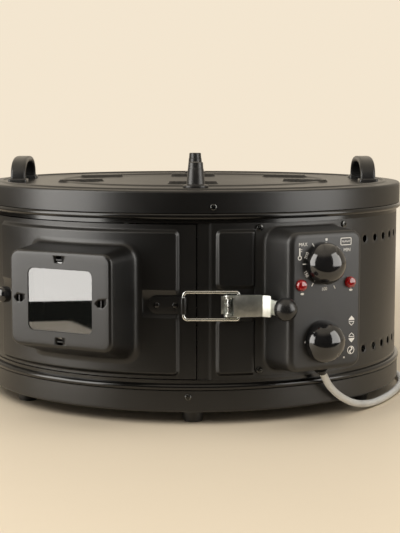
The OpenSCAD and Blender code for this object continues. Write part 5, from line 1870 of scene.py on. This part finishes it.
    def cut_slots(self, window: bpy.types.Object) -> None:
        """Cuts four slots through the window's face for the tabs of the glass's retainer.

        Args:
            window: The window's frame.
        """
        cutters = []
        for along, up in self.slot_spots:
            wide, high = self.slot_size if along == 0.0 else self.slot_size[::-1]
            z = self.glass_z + up
            x_span, z_span = (along - wide / 2, along + wide / 2), (z - high / 2, z + high / 2)
            ring = round_rect(x_span, z_span, self.slot_corner, 2, 3)
            levels = (self.box.rho - self.slot_reach, self.box.rho + self.slot_reach)
            cutters.append(loft([on_face(self.box.az, ring[:, 0], rho, ring[:, 1]) for rho in levels]))
        tool = publish("slot_tool", joined(cutters), Finishes.BLACK, Body.DOOR)
        cut = window.modifiers.new("slots", "BOOLEAN")
        cut.object, cut.operation, cut.solver = tool, "DIFFERENCE", "EXACT"
        settle(window)
        bpy.data.objects.remove(tool)


@dataclass
class Controls:
    """The control box on the wall: housing, screws, two dials, two lamps and the panel's prints."""

    box: PressedBox = PressedBox(
        az=29.0, rho=248.0, half=39.2, low=52.5, top=178.2, spread=(2.5, 2.5, 2.5), edge=5.5, corner=10.0,
        base_r=WALL_R + 1.0,
    )
    flange_half_az: float = 13.72
    flange_z: Pair = (45.45, 185.0)
    flange_corner: float = 9.0
    flange_edge: tuple[Pair, ...] = ((0.0, -0.1), (0.0, 0.6), (0.15, 0.9), (0.5, 1.0))
    screw_az: Pair = (16.5, 41.5)
    screw_z: Pair = (49.95, 180.75)
    dial_along: float = -4.0
    dials: tuple[tuple[str, Body, float, float], ...] = (
        ("thermostat_knob", Body.THERMOSTAT, 150.0, 18.0),
        ("selector_knob", Body.SELECTOR, 79.2, 152.0),
    )
    dial_r: float = 19.3
    dial_foot: float = 2.2
    dial_rise: float = 18.8
    dial_power: float = 0.92
    groove_half: float = 0.9
    groove_from: float = 10.0
    groove_depth: float = 0.7
    lamp_spots: tuple[Pair, ...] = ((-27.6, 131.4), (25.2, 131.4))
    lamp_r: float = 5.25
    lamp_rise: float = 5.0
    print_lift: float = 0.08
    print_thick: float = 0.12
    print_sharp: float = 80.0
    dots: tuple[Point, ...] = ((-0.7, 171.2, 1.3), (-21.9, 79.9, 1.3), (19.9, 62.4, 0.9))
    words: tuple[tuple[str, float, float], ...] = (("MAX", -25.8, 167.6), ("MIN", 21.8, 160.8))
    word_size: float = 4.3
    heats: tuple[tuple[str, float, float], ...] = (
        ("200", -21.9, 157.6),
        ("150", -22.3, 141.2),
        ("100", -2.6, 126.6),
    )
    heat_size: float = 4.2
    ticks: tuple[Pair, ...] = ((-24.4, 150.2), (-15.4, 131.2), (8.5, 127.7), (-15.0, 166.9))
    tick_half: float = 1.7
    tick_width: float = 0.75
    line_width: float = 0.7
    lamp_mark: Pair = (1.9, 1.05)
    lamp_mark_aside: float = 1.4
    lamp_mark_drops: Pair = (7.9, 7.3)

    def build(self) -> None:
        """Makes the box and what shows on it."""
        housing = self.housing_shell()
        publish("control_housing", housing, Finishes.PANEL, Body.HOUSING, ("control_box",))
        head = cross_head(3.1, 1.9)
        spots = [(az, z) for az in self.screw_az for z in self.screw_z]
        screws = joined([head.placed(polar(az, self.box.base_r, z), *facing(az)) for az, z in spots])
        publish(
            "box_screw_heads", screws, Finishes.SCREW, Body.HOUSING, ("control_box_screws",)
        )
        for name, body, z, turn in self.dials:
            cap = self.on_panel(self.dial_shell(turn), self.dial_along, z)
            publish(f"{name}_cap", cap, Finishes.KNOB, body, (name,))
        r, rise = self.lamp_r, self.lamp_rise
        lens = [(0, -HEAD_SEAT), (r, -HEAD_SEAT), (r, 1.8), (r - 0.85, rise - 0.8), (0, rise)]
        cap = spun(filleted(lens, [0, 0, 1.4, 2.2, 0], 8), 36)
        lenses = joined([self.on_panel(cap, along, z) for along, z in self.lamp_spots])
        publish("lamp_caps", lenses, Finishes.LAMP, Body.HOUSING, ("lamp_lenses",))
        publish(
            "panel_prints", self.prints_shell(), Finishes.INK, Body.HOUSING, (),
            thick=self.print_thick, sharp=self.print_sharp,
        )

    def on_panel(self, shell: Shell, along: float, z: float, lift: float = 0.0) -> Shell:
        """A shell stood on the panel's face, at a place along it and a height."""
        return shell.placed(on_face(self.box.az, along, self.box.rho + lift, z), *facing(self.box.az))

    def flange_ring(self, inset: float, lift: float) -> Array:
        """The flange's outline on the wall.

        Args:
            inset: How far it is drawn in.
            lift: Its height over the wall.

        Returns:
            The outline.
        """
        half = WALL_R * math.sin(math.radians(self.flange_half_az)) - inset
        low, top = self.flange_z
        outline = round_rect((-half, half), (low + inset, top - inset), self.flange_corner - inset)
        rho = np.sqrt((WALL_R + lift) ** 2 - outline[:, 0] ** 2)
        return on_face(self.box.az, outline[:, 0], rho, outline[:, 1])

    def housing_shell(self) -> Shell:
        """Flange on the wall, hollow foot, sides, round edge and flat face in one skin.

        Returns:
            The shell.
        """
        rings = self.box.rings()
        outer = [self.flange_ring(inset, lift) for inset, lift in self.flange_edge]
        flat = [outer[-1] + (rings[0] - outer[-1]) * share for share in (0.35, 0.7)]
        return loft([*outer, *flat, *rings], False, True)

    def dial_shell(self, turn: float) -> Shell:
        """A domed dial in its own axes, with a pointer groove.

        The dome is nearly half a globe; the groove is a smooth dip about the pointer's line.

        Args:
            turn: Where its pointer stands, clockwise from the top.

        Returns:
            The shell.
        """
        phi = np.linspace(0.0, math.pi / 2, 33)
        dome = self.dial_r * np.cos(phi) ** self.dial_power
        globe = zipped(dome, self.dial_foot + self.dial_rise * np.sin(phi))
        line = np.concatenate([[[0.0, 0.6], [self.dial_r - 0.8, 0.6], [self.dial_r - 0.2, 1.0]], globe])
        angle = full_turn(96)
        r, h = line[:, :1], line[:, 1:]
        x, y = r * np.cos(angle), r * np.sin(angle)
        lean = math.radians(turn)
        across = x * math.cos(lean) - y * math.sin(lean)
        ahead = x * math.sin(lean) + y * math.cos(lean)
        beside = ease((self.groove_half - np.abs(across)) / 0.5)
        groove = beside * ease((ahead - self.groove_from) / 1.0) * ease((h - 7.0) / 3.0)
        return skin(zipped(x, y, h - self.groove_depth * groove))

    def prints_shell(self) -> Shell:
        """Generic dial marks, numbers and symbols on the panel.

        Returns:
            The shell.
        """
        dial = np.array([self.dial_along, self.dials[0][2]])
        marks = [(patch(circle(radius, 20)), along, z) for along, z, radius in self.dots]
        marks += [(lettering(words, self.word_size), along, z) for words, along, z in self.words]
        for value, along, z in self.heats:
            lean = math.degrees(math.atan2(z - dial[1], along - dial[0])) - 90.0
            upright = lean if z > dial[1] else lean + 180.0
            marks.append((lettering(value, self.heat_size, upright), along, z))
        for along, z in self.ticks:
            ray = np.array([along, z]) - dial
            ray = ray / np.linalg.norm(ray) * self.tick_half
            marks.append((ribbon([-ray, ray], self.tick_width), along, z))
        marks += [
            (self.thermometer(), -29.2, 160.2),
            (self.heat_symbol(11.2, 6.2), 20.6, 168.6),
            (self.half_symbol(1.0), 27.8, 95.6),
            (self.half_symbol(-1.0), 28.0, 80.2),
            (self.swirl(), 27.4, 68.6),
        ]
        oval = circle(1.0, 24) * np.array(self.lamp_mark)
        for (along, z), drop in zip(self.lamp_spots, self.lamp_mark_drops):
            marks.append((patch(oval), along + self.lamp_mark_aside, z - drop))
        return joined([self.on_panel(shell, along, z, self.print_lift) for shell, along, z in marks])

    def thermometer(self) -> Shell:
        """A generic thermometer: a round bulb in outline, a stem and two short marks.

        Returns:
            A flat shell.
        """
        bulb = ribbon(circle(1.7, 24) - np.array([0.0, 4.4]), self.line_width, True)
        stem = ribbon([(0, -3.0), (0, 4.4)], 1.3)
        return joined([bulb, stem, *(ribbon([(1.2, y), (2.4, y)], 0.5) for y in (1.5, 3.2))])

    def swirl(self) -> Shell:
        """A generic symbol for both heats: a ring with one wave of a sine down its middle.

        Returns:
            A flat shell.
        """
        t = np.linspace(0.0, 2 * math.pi, 25)
        curl = zipped(1.3 * np.sin(t), 2.6 - 5.2 * t / (2 * math.pi))
        return joined([ribbon(circle(3.5, 24), self.line_width, True), ribbon(curl, 1.2)])

    def half_symbol(self, side: float) -> Shell:
        """A generic heat symbol: a tall lozenge, one half filled and the other drawn in outline.

        Args:
            side: 1 where the upper half is filled, -1 for the lower half.

        Returns:
            A flat shell.
        """
        full = np.array([(-3.4, 0.6), (0.0, 0.6), (3.4, 0.6), (2.6, 2.2), (0.0, 4.6), (-2.6, 2.2)])
        empty = np.array([(-3.0, -0.8), (3.0, -0.8), (2.2, -2.2), (0.0, -4.2), (-2.2, -2.2)])
        both = joined([patch(full, (0.0, 2.0)), ribbon(empty, self.line_width, True)])
        return Shell(both.points * np.array([side, side, 1.0]), both.faces)

    def heat_symbol(self, width: float, height: float) -> Shell:
        """A generic oven symbol: a framed panel with a zigzag across it.

        Args:
            width: Its width.
            height: Its height.

        Returns:
            A flat shell.
        """
        frame = round_rect((-width / 2, width / 2), (-height / 2, height / 2), 0.8, 2, 3)
        x = np.linspace(-width * 0.36, width * 0.36, 11)
        zigzag = 0.8 * np.where(np.arange(11) % 2 == 0, 1.0, -1.0)
        return joined([ribbon(frame, self.line_width, True), ribbon(zipped(x, zigzag), 0.6)])


@dataclass
class Latch:
    """The over-centre catch at the front: base, lever with its ball, wire bail and catch plate."""

    az: float = 8.5
    z: float = 111.0
    pin_out: float = 7.0
    pin_r: float = 2.0
    pin_half: float = 9.95
    flat_from: float = 3.2
    flat_l: float = 30.0
    flat_up: float = 5.0
    width: float = 19.5
    sheet: float = 1.5
    eye_r: float = 4.6
    tongue: float = 13.5
    knee: Pair = (36.6, 10.8)
    ball: Pair = (43.8, 38.6)
    ball_d: float = 21.0
    ball_up: float = 1.2
    ball_from: float = -62.0
    stud_r: float = 2.5
    stud_half: float = 5.0
    catch_az: float = -2.3
    rivet_az: Pair = (-8.9, -4.4)
    rivet_lift: float = 1.6
    bail_r: float = 217.5
    bail_h: float = 25.0
    bail_end: Pair = (8.6, 9.0)
    bail_hook: float = 2.2
    wire_d: float = 3.0

    def build(self, frame: dict[str, Any]) -> None:
        """Makes the moving pieces and softens the plates."""
        softened(frame, "latch_base", Finishes.GALVANISED, Body.HOUSING, 0.35)
        softened(frame, "latch_rivet", Finishes.ZINC, Body.HOUSING, 0.3)
        r, half = self.pin_r, self.pin_half
        pin = spun(filleted([(0, -half), (r, -half), (r, half), (0, half)], [0, 0.4, 0.4, 0], 4), 28)
        pin = pin.placed(self.at_lever(0.0, 0.0, 0.0), *UPRIGHT)
        publish("lever_pin", pin, Finishes.ZINC, Body.HOUSING, ("latch_pin",))
        lever = self.lever_shell()
        publish("lever", lever, Finishes.GALVANISED, Body.LEVER, ("latch_lever",), bevel=0.35)
        publish("lever_ball", self.ball_shell(), Finishes.BALL, Body.LEVER, ("latch_ball",))
        publish("bail", self.bail_shell(), Finishes.ZINC, Body.BAIL, ("wire_bail",))
        softened(frame, "catch_plate", Finishes.BLACK, Body.DOOR, 0.4)
        head = rivet_head(2.9, 1.5)
        spots = [(polar(az, WALL_R + self.rivet_lift, self.z), facing(az)) for az in self.rivet_az]
        heads = joined([head.placed(spot, *axes) for spot, axes in spots])
        publish("catch_rivet_heads", heads, Finishes.GLOSS, Body.DOOR, ("catch_rivets",))

    def at_lever(self, along: Any, out: Any, up: Any) -> Array:
        """Points in the lever's axes: along the tangent and outwards from its pin, and up from its middle."""
        return on_face(self.az, along, WALL_R + self.pin_out + np.asarray(out), self.z + np.asarray(up))

    def crank_end(self) -> tuple[Array, Array]:
        """Where the crank ends at the ball, and its direction.

        Returns:
            The end's place and the direction, both along and out.
        """
        reach = np.array(self.ball) - np.array(self.knee)
        ahead = reach / np.linalg.norm(reach)
        return np.array(self.ball) - ahead * self.ball_d / 2, ahead

    def on_crank(self, shell: Shell) -> Shell:
        """A turned shell stood on the crank's end, along the crank's direction.

        Args:
            shell: The shell, in its own axes.

        Returns:
            The shell in its place.
        """
        end, ahead = self.crank_end()
        axis = on_face(self.az, ahead[0], ahead[1], 0.0)
        side = np.cross(axis, UP)
        return shell.placed(self.at_lever(end[0], end[1], self.ball_up), side, np.cross(axis, side), axis)

    def lever_shell(self) -> Shell:
        """The lever: a bent strip, two side plates with eyes for the pin, and the stud in the ball.

        Returns:
            The shell.
        """
        eye = np.radians(np.linspace(90.0, 270.0, 17))
        end, up = self.flat_l - 0.5, self.flat_up
        bow = self.eye_r * zipped(np.cos(eye), np.sin(eye))
        outline = np.concatenate([bow, [[end, up - 3.0], [end, up - 0.6], [4.0, up + 0.6]]])[::-1]
        levels = (-self.width / 2, self.width / 2 - self.sheet)
        plates = [
            loft([self.at_lever(outline[:, 0], outline[:, 1], level + h) for h in (0.0, self.sheet)])
            for level in levels
        ]
        r, half = self.stud_r, self.stud_half
        stud = self.on_crank(spun([(0, -half), (r, -half), (r, half), (0, half)], 20))
        return joined([self.strip_shell(), *plates, stud])

    def strip_shell(self) -> Shell:
        """Flat and crank as one strip along a bent line, which narrows by a smooth step at the knee.

        Returns:
            The shell.
        """
        end, _ = self.crank_end()
        corners = [(self.flat_from, self.flat_up), (self.flat_l, self.flat_up), self.knee, tuple(end)]
        line = filleted(corners, [0, 1.6, 2.2, 0], 8)
        flat, crank = np.linspace(line[0], line[1], 8)[:-1], np.linspace(line[-2], line[-1], 10)[1:]
        dense = np.concatenate([flat, line[1:-1], crank])
        run = run_along(dense)
        wide = self.width / 2 - 0.1
        knee = float(run[np.argmin(np.linalg.norm(dense - np.array(self.knee), axis=1))])
        half = wide - (wide - self.tongue / 2) * ease((run - knee + 0.5) / 1.0)
        ahead = np.gradient(dense, axis=0)
        normal = zipped(-ahead[:, 1], ahead[:, 0])
        normal = normal / np.linalg.norm(normal, axis=1, keepdims=True) * self.sheet / 2
        low, high = dense - normal, dense + normal
        section = np.stack([low, low, high, high], axis=1)
        up = half[:, None] * np.array([-1.0, 1.0, 1.0, -1.0])
        return loft(list(self.at_lever(section[..., 0], section[..., 1], up)))

    def ball_shell(self) -> Shell:
        """The ball, with a small flat and a rounded edge where the tongue enters.

        Returns:
            The shell.
        """
        radius = self.ball_d / 2
        phi = np.linspace(math.radians(self.ball_from), math.pi / 2, 40)
        globe = zipped(radius * np.cos(phi), radius + radius * np.sin(phi))
        rim, low = globe[0]
        line = np.concatenate([[[0.0, low + 0.3], [rim - 0.7, low + 0.15]], globe])
        return self.on_crank(spun(line, 56))

    def bail_shell(self) -> Shell:
        """The bail: round wire along a rounded frame whose two ends hook inwards.

        Returns:
            The shell.
        """
        start = polar(self.catch_az, self.bail_r, self.z)
        along, out = self.bail_end
        reach = polar(self.az, WALL_R + out, self.z) + along * facing(self.az)[0] - start
        length = float(np.linalg.norm(reach))
        ahead = reach / length
        h, hook = self.bail_h / 2, self.bail_hook
        corners = [(length, hook - h), (length, -h), (0, -h), (0, h), (length, h), (length, h - hook)]
        flat = filleted(corners, [0, 2.1, 4.0, 4.0, 2.1, 0], 10)
        path = start + flat[:, :1] * ahead + flat[:, 1:] * UP
        return carried(path, circle(self.wire_d / 2, 18), np.cross(ahead, UP))


@dataclass
class Inside:
    """The two tubular heaters that the open door shows."""

    ring_r: float = 120.0
    tube_d: float = 6.5
    levels: tuple[tuple[str, float], ...] = (("lower_heater", 59.5), ("upper_heater", 167.5))
    leg_az: float = 29.0
    leg_half: float = 12.0
    leg_out: float = 220.0
    bend: float = 9.0

    def build(self) -> None:
        """Makes the two heater tubes."""
        for name, z in self.levels:
            tube = self.heater_shell(z)
            publish(f"{name}_tube", tube, Finishes.SHEATH_TUBE, Body.HOUSING, (name,))

    def heater_shell(self, z: float) -> Shell:
        """A heater: round tube along a ring whose ends turn outwards side by side through the wall.

        Args:
            z: Its height.

        Returns:
            The shell.
        """
        start = math.degrees(math.asin(self.leg_half / self.ring_r))
        ring = polar(self.leg_az + np.linspace(start, 360.0 - start, 97), self.ring_r, z)
        tangent, _, out = facing(self.leg_az)
        right, left = (out * self.leg_out + side * tangent * self.leg_half + z * UP for side in (1.0, -1.0))
        first = filleted([right, ring[0], ring[2]], [0, self.bend, 0], 8)
        last = filleted([ring[-3], ring[-1], left], [0, self.bend, 0], 8)
        path = np.concatenate([first[:-1], ring[4:-4], last[1:]])
        return carried(path, circle(self.tube_d / 2, 16), UP)


KEPT_NODES: dict[Finish, tuple[str, ...]] = {
    Finishes.ALUMINIUM: ("lower_reflector", "upper_reflector"),
    Finishes.CHROME: ("wire_rack",),
    Finishes.CERAMIC: ("heater_bushes", "terminal_block"),
    Finishes.COPPER: ("thermostat_probe",),
    Finishes.PLASTIC: ("selector_switch", "lamp_bodies"),
    Finishes.STEEL: (
        "heater_clips", "foot_screws", "handle_screws", "peg_screws", "thermostat", "thermostat_shaft",
        "selector_shaft", "probe_clip", "door_knob_screw", "hinge_pins",
    ),
    Finishes.GLASS: ("window_glass",),
    Finishes.BLACK: ("glass_retainer",),
    Finishes.GLOSS: ("hinge_wall_rivets", "hinge_door_rivets"),
}


def paint_nodes(frame: dict[str, Any]) -> None:
    """Gives every CAD node that stays in view its finish.

    Args:
        frame: The loaded frame.
    """
    for finish, nodes in KEPT_NODES.items():
        for node in nodes:
            for slot in frame["nodes"][node].material_slots:
                slot.link = "OBJECT"
                slot.material = finish.material()


def main() -> None:
    """Builds the scene in order: camera and cord first, then the oven from outside to inside."""
    logging.basicConfig(level=logging.INFO, format="%(name)s %(message)s")
    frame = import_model()
    Studio().build()
    PowerCord().build()
    Covers().build()
    Drum().build(frame)
    Door().build(frame)
    Controls().build()
    Latch().build(frame)
    Inside().build()
    paint_nodes(frame)


if __name__ == "__main__":
    main()
